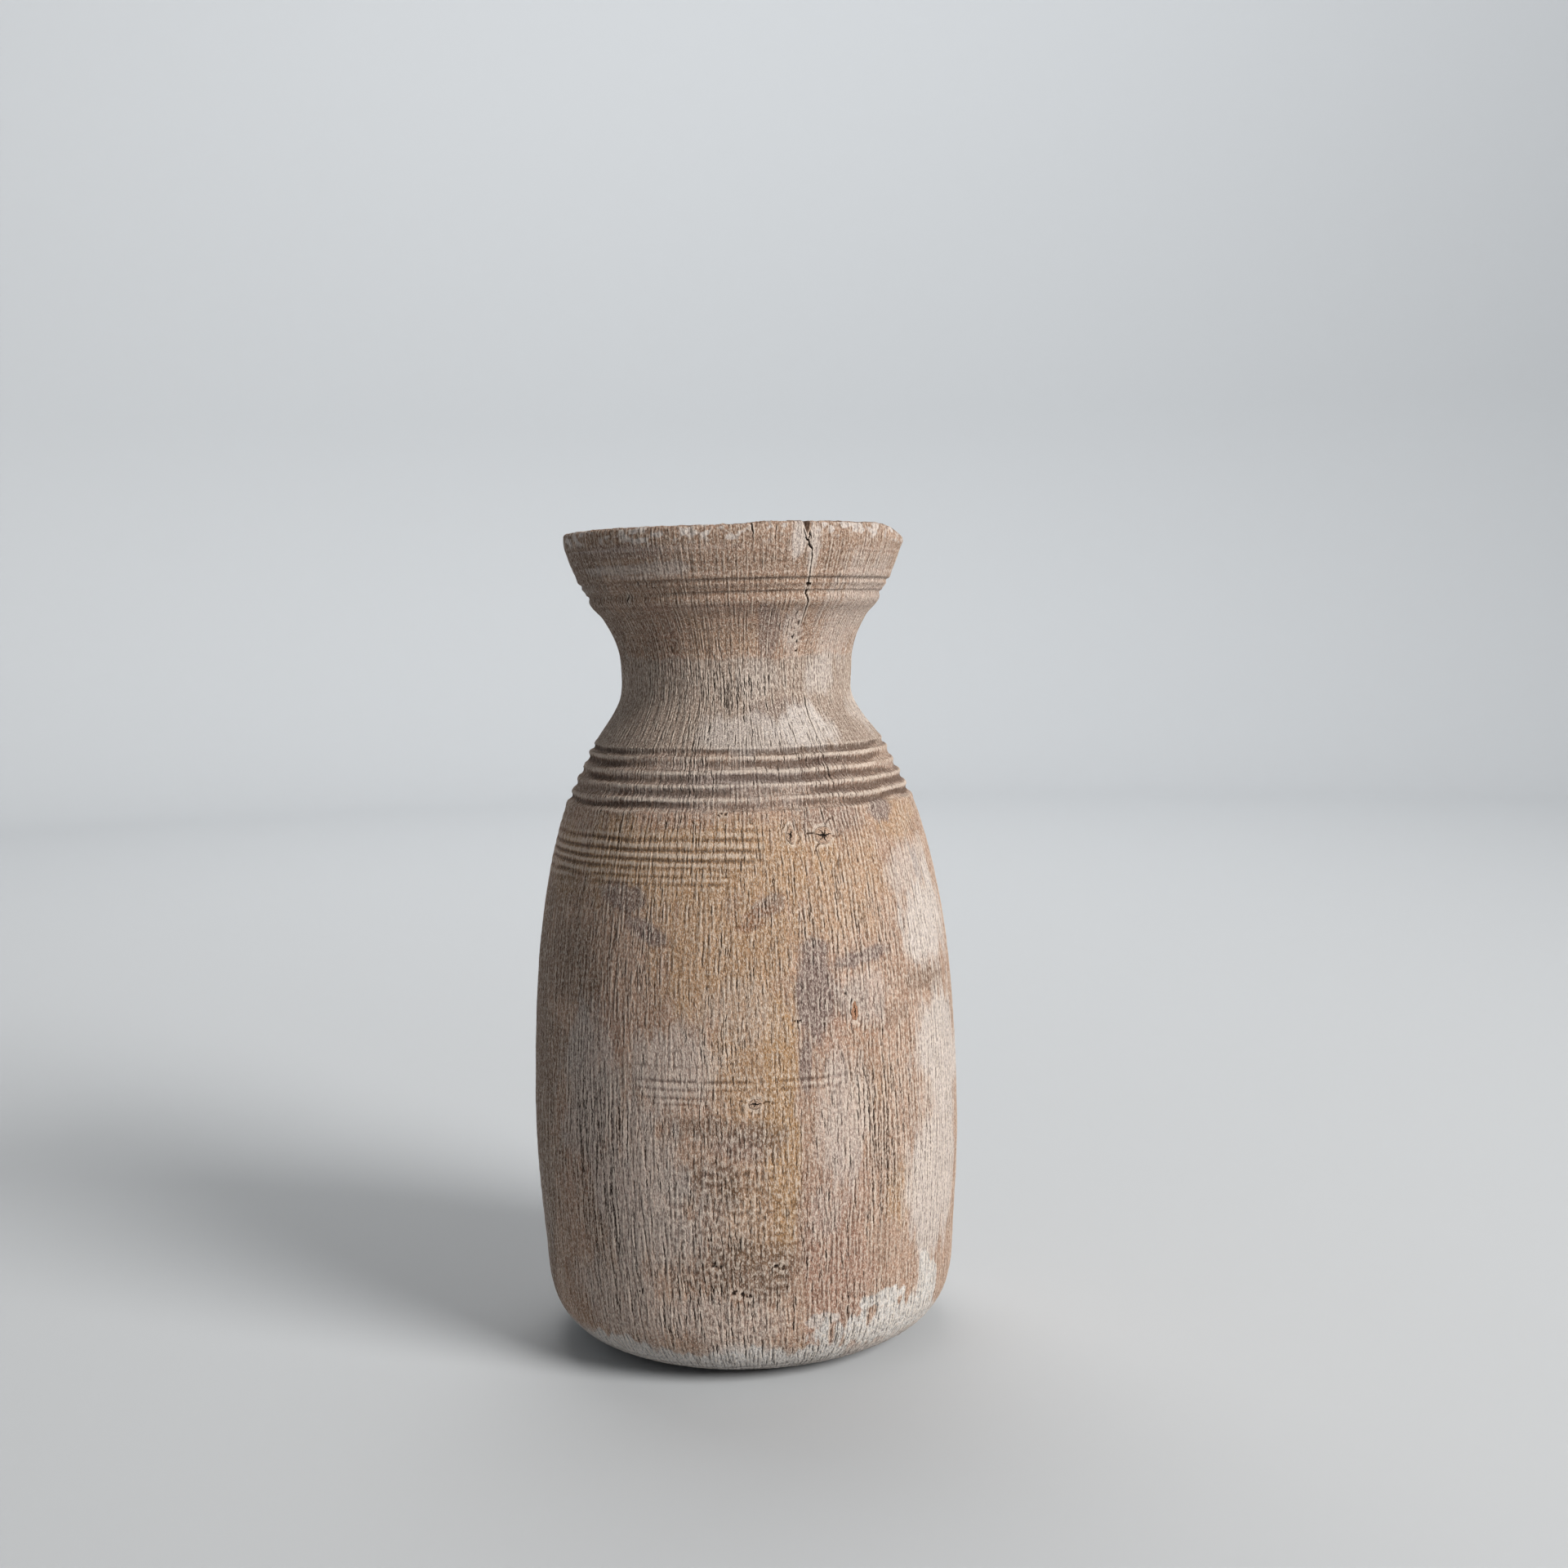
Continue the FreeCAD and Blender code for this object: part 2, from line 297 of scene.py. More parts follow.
# Lathe rings cut finer than the CAD outline's: height, half height, depth, and the angles
# between which they haven't worn away
RINGS = [
    (185.5, 0.8, 0.22, -85, 6), (182.0, 0.8, 0.26, -90, 4), (179.0, 0.7, 0.24, -90, 2),
    (176.5, 0.7, 0.2, -80, -4), (173.6, 0.6, 0.2, -70, 0), (171.0, 0.6, 0.16, -66, -8),
    (112.0, 0.6, 0.1, -32, -10), (107.0, 0.7, 0.16, -30, 28), (104.2, 0.6, 0.13, -28, 26),
    (101.4, 0.6, 0.14, -28, -9), (99.4, 0.5, 0.1, -27, -10),
    (276.5, 0.7, 0.08, -90, 60), (262.0, 0.6, 0.08, -70, 30), (279.8, 0.5, 0.1, 30, 100),
    (188.6, 0.8, 0.2, 95, 260), (181.0, 0.7, 0.24, 100, 250), (175.8, 0.7, 0.2, 110, 240),
    (120.0, 0.6, 0.14, 120, 200), (116.4, 0.6, 0.12, 130, 210),
]

# Clusters of long open checks: angle, height, half angle, half height, count, longest
CHECK_CLUSTERS = [
    (-46, 88, 13, 26, 110, 22), (-38, 56, 12, 30, 90, 26), (38, 84, 9, 28, 90, 26),
    (0, 233, 18, 7, 70, 8), (-66, 80, 10, 38, 60, 20), (26, 160, 18, 26, 70, 14),
    (-8, 34, 18, 18, 60, 9), (58, 92, 12, 40, 70, 16), (34, 24, 22, 12, 40, 9),
    (24, 62, 10, 40, 50, 12), (170, 90, 30, 50, 150, 26), (-120, 110, 24, 50, 120, 24),
    (120, 80, 20, 50, 90, 22), (-160, 232, 40, 10, 80, 10), (90, 232, 30, 9, 50, 9),
    (-100, 40, 20, 24, 60, 18),
]

# Single cracks: their points as (angle, height), half width and depth at the widest
CRACKS = [
    ([(23.7, 287.5), (23.9, 284.9), (26.0, 280.5), (26.6, 278.2), (26.9, 273), (27.5, 266)], 0.3, 1.6),
    ([(27.0, 271.5), (27.4, 267), (28.5, 263.5), (29.2, 259.5), (29.6, 254)], 0.24, 0.9),
    ([(24.6, 287), (25.6, 284), (25.2, 281.5)], 0.22, 0.6),
    ([(5.7, 290), (5.9, 286), (6.2, 282.5)], 0.24, 0.8),
    ([(-43.4, 267.4), (-43.9, 265), (-44.5, 262.0)], 0.34, 0.9),
    ([(-67, 218.8), (-66.2, 216), (-65.6, 213.0)], 0.36, 0.8),
    ([(33.1, 232), (33.0, 226), (32.3, 219), (32.0, 212.5)], 0.2, 0.6),
    ([(32.2, 212.4), (33.0, 204.4), (33.6, 200), (34.2, 194)], 0.3, 0.9),
    ([(13.4, 128), (13.5, 112), (13.3, 98)], 0.16, 0.35),
    ([(13.3, 99), (13.1, 84), (12.9, 70), (12.6, 58)], 0.18, 0.4),
    ([(22.6, 186.2), (20.3, 186.6), (18.6, 186.0)], 0.26, 0.5),
    ([(27.4, 185.4), (29.6, 184.8), (31.6, 185.6)], 0.26, 0.5),
    ([(26.2, 188.4), (27.4, 190.2), (29.6, 191.2)], 0.22, 0.4),
    ([(23.6, 183.2), (22.2, 181.6), (21.6, 179)], 0.22, 0.45),
    ([(13.6, 190.2), (12.4, 188.2), (12.1, 185.6), (12.9, 182.8)], 0.22, 0.45),
    ([(16.4, 190), (17.4, 187.6), (17.4, 185), (16.4, 182.4)], 0.2, 0.4),
    ([(-2.6, 101), (-0.6, 100.3), (0.4, 99.6)], 0.28, 0.5),
    ([(3.6, 99.6), (5.2, 100.2), (6.8, 99.4)], 0.24, 0.4),
    ([(1.4, 97.8), (1.0, 95.6), (1.6, 93.6)], 0.22, 0.4),
    ([(28.6, 132), (28.0, 127.6), (28.6, 123.4)], 0.26, 0.6),
    ([(26.6, 133.6), (27.6, 132.6)], 0.4, 0.5),
    ([(150, 290), (150.6, 281), (149.6, 272), (151, 262)], 0.32, 1.2),
    ([(-128, 290), (-127.4, 283), (-128, 278)], 0.28, 0.9),
    ([(-174, 196), (-173, 172), (-174.5, 150), (-173.6, 128)], 0.4, 1.1),
]

# Pits and small holes: angle, height, radius, depth
PITS = [
    (23.3, 286.6, 0.7, 1.0), (24.8, 285.0, 0.6, 1.0), (27.2, 268.3, 1.0, 1.3), (27.9, 265.9, 0.7, 0.9),
    (13.3, 125.6, 0.8, 0.8), (29.6, 246.6, 0.6, 0.7), (-2.4, 35.0, 0.9, 0.8), (-4.4, 35.6, 0.8, 0.7),
    (-0.6, 34.4, 0.8, 0.6), (6.3, 44.2, 0.8, 0.7), (8.0, 43.4, 0.7, 0.6), (-9.2, 45.2, 0.8, 0.7),
    (-7.4, 44.6, 0.7, 0.5), (-6.2, 194.2, 0.8, 0.5), (-4.4, 193.8, 0.7, 0.4), (-29.6, 34.0, 0.9, 0.6),
    (-10.0, 54.0, 0.7, 0.5), (27.6, 256.0, 0.6, 0.6), (26.6, 251.5, 0.6, 0.6), (29.2, 249.6, 0.5, 0.6),
]

# Rough weathered places: angle, height, half angle, half height, strength
ROUGH_PLACES = [
    (-3, 54, 17, 44, 1.0), (28, 253, 5, 10, 0.9), (40, 18, 22, 12, 0.7), (0, 160, 14, 14, 0.3),
    (58, 120, 22, 60, 0.4), (10, 289, 70, 3, 0.6), (-140, 40, 20, 26, 0.6), (150, 50, 16, 24, 0.5),
    (170, 252, 16, 12, 0.8),
]

# Straight line down the grain where golden wood meets pink: angle, lowest and highest point
GRAIN_LINE = (13.4, 14, 150)

# Grooves cut round the shoulder, and the fine rings below them
GROOVE_START, GROOVE_PITCH = 196.1, 4.4
RING_START, RING_PITCH = 182.0, 3.2

# Chip out of the neck's side: angle, height, half angle, half height, depth
NECK_CHIP = (84, 226.5, 9, 7.5, 1.9)

# Rim: how much lower its left half is, the notch, and the corner that is worn away
RIM_SLOPE_DROP = 0.9
NOTCH = (24.0, 1.2, 3.9)           # angle, half width, depth
WORN_CORNER = (86, 24, 3.2)        # angle, half angle, depth at the outer edge

# Heights where the wood's colour changes
GROOVES_BOTTOM, GROOVES_TOP, FLARE_BOTTOM, LIP_BOTTOM = 194.5, 213.0, 245.5, 284.0
PAST_RIM = TOP + 20

# Softness and raggedness of a patch's edge
STAIN_EDGE = (0.35, 0.6)
CHALK_EDGE = (0.14, 0.8)

# Cracks that spread from the pith under the foot: direction, length and half width
PITH = (11.0, 7.0)                 # where the log's pith crosses the foot
PITH_CRACKS = [(20, 30, 0.5), (75, 18, 0.35), (128, 34, 0.6), (190, 22, 0.4), (251, 30, 0.5), (318, 24, 0.4)]

CHECK_DARKENING_DEPTH = 0.5        # a check this deep is painted fully dark, as painted shade in the check
CREST_HEIGHT = 0.1                 # grain standing this far above its surroundings is painted fully pale, partly as wear and partly as a painted highlight
CREST_REACH = (3, 4)               # rows and columns each way that count as its surroundings

KNOT_NODES = ("knot_star", "knot_eye", "knot_pin", "knot_low")
KNOT_THICKNESS = 2.6
KNOT_SUNK = {"knot_star": 0.2, "knot_eye": 0.18, "knot_pin": 0.35, "knot_low": 0.2}


def knot_place(node):
    """Angle, height, half width and half height of a knot where it meets the outside."""
    place = read_array(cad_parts[node].data.vertices, "co", 3) / MM
    wall = wall_radius(place[:, 2])
    face = place[np.hypot(place[:, 0], place[:, 1]) > wall - 0.3]
    angle = np.arctan2(face[:, 0], -face[:, 1])
    middle = (angle.min() + angle.max()) / 2
    height = (face[:, 2].min() + face[:, 2].max()) / 2
    radius = wall_radius(height)
    return (math.degrees(middle), height, (angle.max() - angle.min()) / 2 * radius,
            (face[:, 2].max() - face[:, 2].min()) / 2)


KNOTS = {node: knot_place(node) for node in KNOT_NODES}


def knot_outline(node, turn):
    """Ragged outline of a knot: its size in each direction, over that of its ellipse."""
    rng = np.random.default_rng(KNOT_NODES.index(node) + 7)
    waves = [rng.normal(0, 0.16) / k * np.cos(k * turn + rng.uniform(0, 2 * math.pi)) for k in range(2, 12)]
    return 1 + sum(waves)


def grain_shift():
    """Sideways wander of the grain on the whole grid, in mm. It bends round each knot."""
    shift = 1.3 * noise(21, 34, 60, 2) + 0.16 * noise(22, 5, 8, 2)
    for angle, height, half_width, half_height in KNOTS.values():
        x = (ANGLE - math.radians(angle))[None, :] * RADIUS[:, None]
        y = (HEIGHT - height)[:, None]
        near = np.exp(-(x / (2 * half_width + 2))**2 - (y / (1.8 * half_height + 2))**2)
        near[:FIRST_SIDE] = 0
        near[LAST_SIDE:] = 0
        shift += np.tanh(x / 1.5) * near * (0.7 * half_width + 0.5)
    return shift


SHIFT = grain_shift()


def carve(field, angle, row, half_width, value):
    """Raises field to value across strokes. Each sample is one row of one stroke: its angle in
    radians, half width in mm and value at its middle."""
    if not len(row):
        return
    centre = column_at(angle)
    nearest = np.round(centre).astype(int)
    spacing = np.abs(column_angle(centre + 0.5) - column_angle(centre - 0.5)) * RADIUS[row]
    half_width = np.maximum(half_width, 0.62 * spacing)
    reach = int(np.ceil((half_width / spacing).max())) + 1
    start = column_angle(centre)
    for step in range(-reach, reach + 1):
        miss = np.abs(column_angle(nearest + step) - start) * RADIUS[row]
        share = 1 - (miss / half_width)**2
        hit = share > 0
        np.maximum.at(field, (row[hit], (nearest[hit] + step) % COLUMNS), (value * share)[hit])


def carve_checks(field, seed, angle, row, length, half_width, depth):
    """Checks that follow the grain, each with its own middle, length, half width and depth."""
    rng = np.random.default_rng(seed)
    step = np.gradient(ALONG)[row]
    half_rows = np.maximum(1, np.round(length / step / 2)).astype(int)
    count = 2 * half_rows + 1
    which = np.repeat(np.arange(len(row)), count)
    offset = np.arange(count.sum()) - np.repeat(np.cumsum(count) - count, count) - half_rows[which]
    rows = row[which] + offset
    taper = np.sqrt(np.maximum(0, 1 - (offset / (half_rows[which] + 1.0))**2))
    lean = rng.normal(0, 0.035, len(row))[which] * offset * step[which]
    phase = rng.uniform(0, 2 * math.pi, len(row))[which]
    wiggle = 0.09 * np.sin(offset * step[which] * 0.9 + phase) + 0.07 * np.sin(offset * 1.7 + 2 * phase)
    inside = (rows >= 0) & (rows < ROWS)
    which, rows, taper, sideways = which[inside], rows[inside], taper[inside], (lean + wiggle)[inside]
    column = np.round(column_at(angle)).astype(int)[which] % COLUMNS
    sideways = sideways + SHIFT[rows, column] - SHIFT[row[which], column]
    phase = phase[inside]
    breaks = 0.75 + 0.6 * np.sin(rows * 0.55 + 5 * phase) + 0.3 * np.sin(rows * 1.7 + phase)
    carve(field, angle[which] + sideways / np.maximum(RADIUS[rows], 5), rows,
          half_width[which] * taper, depth[which] * taper * np.clip(breaks, 0.15, 1))


def scatter_checks(field, seed, count, density, lengths, half_widths, depths, rows=SIDE):
    """Random checks over some rows, kept where density is high."""
    rng = np.random.default_rng(seed)
    area = np.gradient(ALONG)[rows] * RADIUS[rows]
    row = rng.choice(np.arange(ROWS)[rows], count, p=area / area.sum())
    angle = rng.uniform(-math.pi, math.pi, count)
    column = np.round(column_at(angle)).astype(int) % COLUMNS
    kept = rng.random(count) < density[row, column]
    size = rng.random(count)[kept]**2.2
    jitter = rng.uniform(0.75, 1.3, kept.sum())

    def grow(smallest, largest):
        return smallest + (largest - smallest) * size

    carve_checks(field, seed + 1, angle[kept], row[kept], grow(*lengths) * jitter,
                 grow(*half_widths) / jitter**0.5, grow(*depths) * rng.uniform(0.7, 1.2, kept.sum()))


def stamp(field, angle, height, half_width, value):
    """Raises field to value in round dots on the outside."""
    half_height = np.maximum(half_width, 0.6 * SIDE_STEP)
    nearest = np.round(side_row(height)).astype(int)
    reach = int(half_height.max() / RIM_STEP) + 1
    for step in range(-reach, reach + 1):
        row = np.clip(nearest + step, FIRST_SIDE, LAST_SIDE - 1)
        share = 1 - ((HEIGHT[row] - height) / half_height)**2
        hit = share > 0.05
        carve(field, angle[hit], row[hit], (half_width * np.sqrt(np.abs(share)))[hit], (value * share)[hit])


def carve_crack(field, points, half_width, depth, seed):
    """One ragged crack through points on the outside, which narrows to nothing at its end."""
    angle, height = np.array(points, float).T
    angle = np.radians(angle)
    radius = wall_radius(height)
    reach = np.r_[0, np.cumsum(np.hypot(np.diff(angle) * radius[1:], np.diff(height)))]
    at = np.arange(0, reach[-1], 0.15)
    share = at / reach[-1]
    bends = np.arange(0, reach[-1] + 1.3, 1.3)
    draws = np.random.default_rng(seed).normal(0, 1, (2, len(bends)))
    wander, swell = (np.interp(at, bends, draw) for draw in draws)
    size = smoothstep(0, 0.1, share) * (1 - share)**0.5 * np.clip(0.85 + 0.4 * swell, 0.25, 1.3)
    sideways = 0.2 * wander / np.interp(at, reach, radius)
    stamp(field, np.interp(at, reach, angle) + sideways, np.interp(at, reach, height) + 0.08 * swell,
          half_width * size + 0.05, depth * size)


def carve_pits(field, seed):
    """Small ragged pits, each made of a few dots."""
    rng = np.random.default_rng(seed)
    dots = np.repeat(np.array(PITS), 6, axis=0)
    angle, height, radius, depth = dots.T
    size = radius * rng.uniform(0.3, 0.6, len(dots))
    wall = wall_radius(height)
    stamp(field, np.radians(angle) + rng.normal(0, 0.5, len(dots)) * radius / wall,
          height + rng.normal(0, 0.45, len(dots)) * radius, size, depth)


# ---- the body's relief

def raise_mask(mask, name, value):
    """Raises a mask on the outside to value, where that is more."""
    mask[name][SIDE] = np.maximum(mask[name][SIDE], value)


def place_stains(mask):
    for name, patches in STAINS.items():
        soft, ragged = CHALK_EDGE if name == "chalk" else STAIN_EDGE
        for angle, height, half_angle, half_height, strength, *tilt in patches:
            found = patch(angle, height, half_angle, half_height, *tilt, soft=soft, ragged=ragged)
            raise_mask(mask, name, strength * found)


def part_by_grain_line(mask):
    """Keeps ochre to the left of the line down the grain and rose to its right."""
    angle, low, high = GRAIN_LINE
    wander = 0.25 * noise(36, 200, 5, 3, SIDE) + 0.15 * noise(37, 2, 14, 2, SIDE)
    right = smoothstep(-0.35, 0.35, DEGREES - angle + wander)
    on_line = band(low, high, 8) * (1 - smoothstep(20, 30, np.abs(DEGREES)))
    mask["ochre"][SIDE] *= 1 - 0.85 * on_line * right
    mask["rose"][SIDE] *= 1 - 0.8 * on_line * (1 - right)


def place_zones():
    """Masks of the body's surface, one number for each grid point."""
    mask = {name: np.zeros((ROWS, COLUMNS), np.float32) for name in MASKS}
    place_stains(mask)
    part_by_grain_line(mask)
    turning = noise(33, 90, 1.6, 3, SIDE)
    grooves = band(GROOVES_BOTTOM, GROOVES_TOP, 1.2, 1.2)
    mask["brown"][SIDE] = band(FLARE_BOTTOM, PAST_RIM, 0.8) * np.clip(0.7 + 0.7 * turning, 0, 1)
    mask["grey"][SIDE] = band(GROOVES_TOP, FLARE_BOTTOM - 0.5, 1.2, 1.2) + 0.4 * grooves
    raise_mask(mask, "rose", 0.8 * band(247, 262, 5) * np.clip(turning, 0, 1))
    raise_mask(mask, "bleach_and_painted_light", 0.55 * band(263, 283, 5) * np.clip(-turning, 0, 1))
    speckle = np.clip(2 * noise(34, 3, 2, 2, SIDE), 0, 1)
    raise_mask(mask, "bleach_and_painted_light", 0.9 * band(LIP_BOTTOM, PAST_RIM, 2) * speckle)
    central = 1 - smoothstep(20, 50, np.abs(DEGREES - 5))
    stained = band(GROOVES_BOTTOM, GROOVES_TOP, 1.4, 1.6)
    stained *= np.clip(0.5 + 0.5 * noise(35, 30, 6, 2, SIDE), 0, 1)
    raise_mask(mask, "violet", stained * (0.4 + 0.5 * central))
    raise_mask(mask, "bleach_and_painted_light", 0.8 * band(-40, 14, 4, 5))
    raise_mask(mask, "chalk", 0.65 * band(-40, 11, 4, 5))
    mask["inside"][LAST_SIDE:] = smoothstep(4, 30, ALONG[LAST_SIDE:] - RIM_ALONG)[:, None]
    mask["end_grain"][:] = smoothstep(0.6, 0.95, np.abs(NORMAL_Z))[:, None]
    return mask


def rough_places():
    rough = np.zeros((ROWS, COLUMNS))
    for angle, height, half_angle, half_height, strength in ROUGH_PLACES:
        found = strength * patch(angle, height, half_angle, half_height, soft=0.6)
        rough[SIDE] = np.maximum(rough[SIDE], found)
    rough[:FIRST_SIDE] = 0.5
    return rough


def ring_relief():
    """Fine lathe rings, broken where they have worn away."""
    depth = np.zeros((ROWS, COLUMNS))
    wear = 0.75 + 0.4 * noise(31, 12, 5, 2, SIDE)
    for height, half_height, deep, start, end in RINGS:
        wander = 0.25 * noise(32, 60, 400, 1, SIDE)
        shape = np.exp(-((HEIGHT[SIDE][:, None] - height + wander) / half_height)**2)
        middle, half = (start + end) / 2, (end - start) / 2
        off = np.abs((DEGREES - middle + 180) % 360 - 180)
        depth[SIDE] += deep * shape * (1 - smoothstep(half - 6, half + 4, off)) * wear
    return depth


def check_relief(rough):
    """Depth of every check, crack and pit of the outside."""
    depth = np.zeros((ROWS, COLUMNS))
    density = np.full((ROWS, COLUMNS), 0.5)
    density[SIDE] *= 1 + 0.9 * noise(41, 14, 30, 2, SIDE)
    density[SIDE] *= 1 - 0.85 * band(247, PAST_RIM, 3)
    density[SIDE] *= 1 - 0.3 * rough[SIDE]
    scatter_checks(depth, 101, 44000, density, (1.2, 8.0), (0.10, 0.18), (0.12, 0.55))
    scatter_checks(depth, 111, 30000, 0.4 * density + 0.5 * rough, (0.7, 2.0), (0.12, 0.26), (0.08, 0.30))
    rng = np.random.default_rng(121)
    for k, (angle, height, half_angle, half_height, count, longest) in enumerate(CHECK_CLUSTERS):
        a = np.radians(angle + half_angle * rng.normal(0, 0.5, count))
        h = height + half_height * rng.normal(0, 0.5, count)
        row = np.clip(np.round(side_row(np.clip(h, 4, TOP - 4))).astype(int), FIRST_SIDE, LAST_SIDE - 1)
        size = rng.random(count)**1.6
        carve_checks(depth, 130 + k, a, row, 3 + (longest - 3) * size, 0.11 + 0.13 * size,
                     0.25 + 0.5 * size)
    for k, (points, half_width, deep) in enumerate(CRACKS):
        carve_crack(depth, points, half_width, deep, 160 + k)
    carve_pits(depth, 51)
    return depth


def weathering(rough):
    """Raised grain and pebbly weathering between the checks, in mm above the turned surface."""
    fibre = 0.12 * noise(61, 0.8, 8, 2) + 0.04 * noise(62, 2.8, 22, 2)
    pebble = 0.05 * noise(63, 0.8, 1.2, 2)
    coarse = rough * (0.17 * noise(64, 1.6, 1.9, 3) + 0.13 * noise(65, 5, 6, 2))
    broad = 0.2 * noise(66, 60, 70, 2) + 0.07 * noise(67, 18, 26, 2)
    return fibre + pebble + coarse + broad - 0.28


def groove_ripple():
    """Soft ridges that the worn grooves of the shoulder leave between them, in mm sunk."""
    height = HEIGHT[SIDE][:, None] + 0.45 * noise(69, 20, 9, 2, SIDE)
    ridges = 0.24 * np.cos((height - GROOVE_START) * 2 * math.pi / GROOVE_PITCH)
    above_rings = height - RING_START + noise(76, 40, 5, 2, SIDE)
    rings = 0.09 * np.cos(above_rings * 2 * math.pi / RING_PITCH) * band(170, 190, 4)
    worn = 1 - 0.8 * smoothstep(-0.2, 0.6, noise(70, 26, 7, 2, SIDE))
    left = 1 - smoothstep(-5, 15, DEGREES)
    return band(195, 214) * (ridges + 0.1) * worn + rings * worn * left


def knot_recesses(depth):
    """Sinks a recess for each knot."""
    for node, (angle, height, half_width, half_height) in KNOTS.items():
        x = (ANGLE - math.radians(angle))[None, :] * RADIUS[SIDE][:, None] / half_width
        y = (HEIGHT[SIDE] - height)[:, None] / half_height
        miss = np.hypot(x, y) / knot_outline(node, np.arctan2(y, x))
        slope = 0.5 / min(half_width, half_height)
        hole = (KNOT_THICKNESS + 0.35) * (1 - smoothstep(1 - slope, 1, miss))
        depth[SIDE] = np.maximum(hole, depth[SIDE])


def hollow_relief():
    """Gouge ridges and dents of the hollow and its floor, and the depth of its checks."""
    rows = slice(LAST_SIDE + 8, ROWS)
    along = (ALONG[rows] - RIM_ALONG)[:, None]
    wander = 2.6 * noise(71, 30, 40, 2, rows)
    ridges = 0.08 * np.sin((along + wander) * 2 * math.pi / 5.2) * (0.6 + 0.5 * noise(74, 25, 14, 2, rows))
    dents = 0.22 * noise(72, 9, 7, 2, rows) + 0.1 * noise(73, 1.6, 5, 2, rows)
    depth, checks = np.zeros((2, ROWS, COLUMNS))
    density = np.full((ROWS, COLUMNS), 0.8)
    scatter_checks(checks, 171, 3400, density, (3, 16), (0.16, 0.34), (0.2, 0.6), rows)
    fade = smoothstep(0, 6, along - 6)
    checks[rows] *= fade
    depth[rows] = fade * (0.25 + ridges + dents)
    return depth + checks, checks


def foot_relief():
    """Saw marks, growth rings and star-shaped checks of the flat face under the foot. All of
    it is sunk, so that the face still rests on its plane."""
    rows = slice(0, FIRST_SIDE)
    x = RADIUS[rows][:, None] * np.sin(ANGLE) - PITH[0]
    y = -RADIUS[rows][:, None] * np.cos(ANGLE) - PITH[1]
    from_pith = np.hypot(x, y)
    rings = 0.10 * (1 + np.sin(from_pith * 2.1 + 1.5 * noise(81, 30, 20, 2, rows)))
    pith_angle = np.arctan2(x, -y)
    star = np.zeros_like(from_pith)
    for k, (spoke, length, half_width) in enumerate(PITH_CRACKS):
        turn = (pith_angle - math.radians(spoke) + math.pi) % (2 * math.pi) - math.pi
        off = np.abs(turn) * from_pith + 0.25 * np.sin(from_pith * 0.9 + k)
        narrowing = np.clip(1 - from_pith / length, 0, 1)
        opened = (np.abs(turn) < 1) * np.clip(1 - off / (2 * half_width), 0, 1)
        star = np.maximum(star, 1.6 * narrowing * opened)
    depth, crack = np.zeros((2, ROWS, COLUMNS))
    edge = smoothstep(0, 5, FOOT_EDGE_ALONG - ALONG[rows])[:, None]
    crack[rows] = edge * star
    depth[rows] = edge * (rings + 0.12 * (1 + noise(82, 8, 2.4, 2, rows))) + crack[rows]
    return depth, crack


def rim_shift():
    """How far each grid point near the rim is moved down by the rim's uneven height, its
    notch and its worn corner."""
    near_top = smoothstep(TOP - 9, TOP - 0.5, HEIGHT)[:, None]
    inner_edge, outer_edge = RADIUS[LAST_SIDE + 16], RADIUS[LAST_SIDE - 12]
    outward = smoothstep(inner_edge, outer_edge, RADIUS)[:, None]
    uneven = RIM_SLOPE_DROP * (1 - smoothstep(-2, 14, DEGREES)) + 0.5 * smoothstep(40, 75, DEGREES)
    back = np.abs(DEGREES) > 120
    uneven = np.where(back, 0.6 + 0.4 * np.cos(np.radians(DEGREES * 3)), uneven)
    chips = 0.22 * noise(91, 3.2, 9, 3)
    angle, half_width, deep = NOTCH
    off = np.abs(np.radians(DEGREES - angle)) * RADIUS[LAST_SIDE]
    notch = deep * np.clip(1 - off / half_width, 0, 1)**0.8
    angle, half_angle, worn = WORN_CORNER
    corner = worn * (1 - smoothstep(0.35, 1.2, np.abs(DEGREES - angle) / half_angle))
    drop = near_top * (uneven + chips + notch + outward**1.5 * corner)
    drop[HEIGHT < TOP - 10] = 0
    return drop


def neck_chip():
    angle, height, half_angle, half_height, deep = NECK_CHIP
    chip = np.zeros((ROWS, COLUMNS))
    torn = patch(angle, height, half_angle, half_height, 8, 0.8, 0.5)
    chip[SIDE] = deep * torn * (0.85 + 0.25 * noise(75, 1.4, 12, 2, SIDE))
    return chip


def local_mean(field):
    for axis, reach in enumerate(CREST_REACH):
        field = sum(np.roll(field, k, axis) for k in range(-reach, reach + 1)) / (2 * reach + 1)
    return field


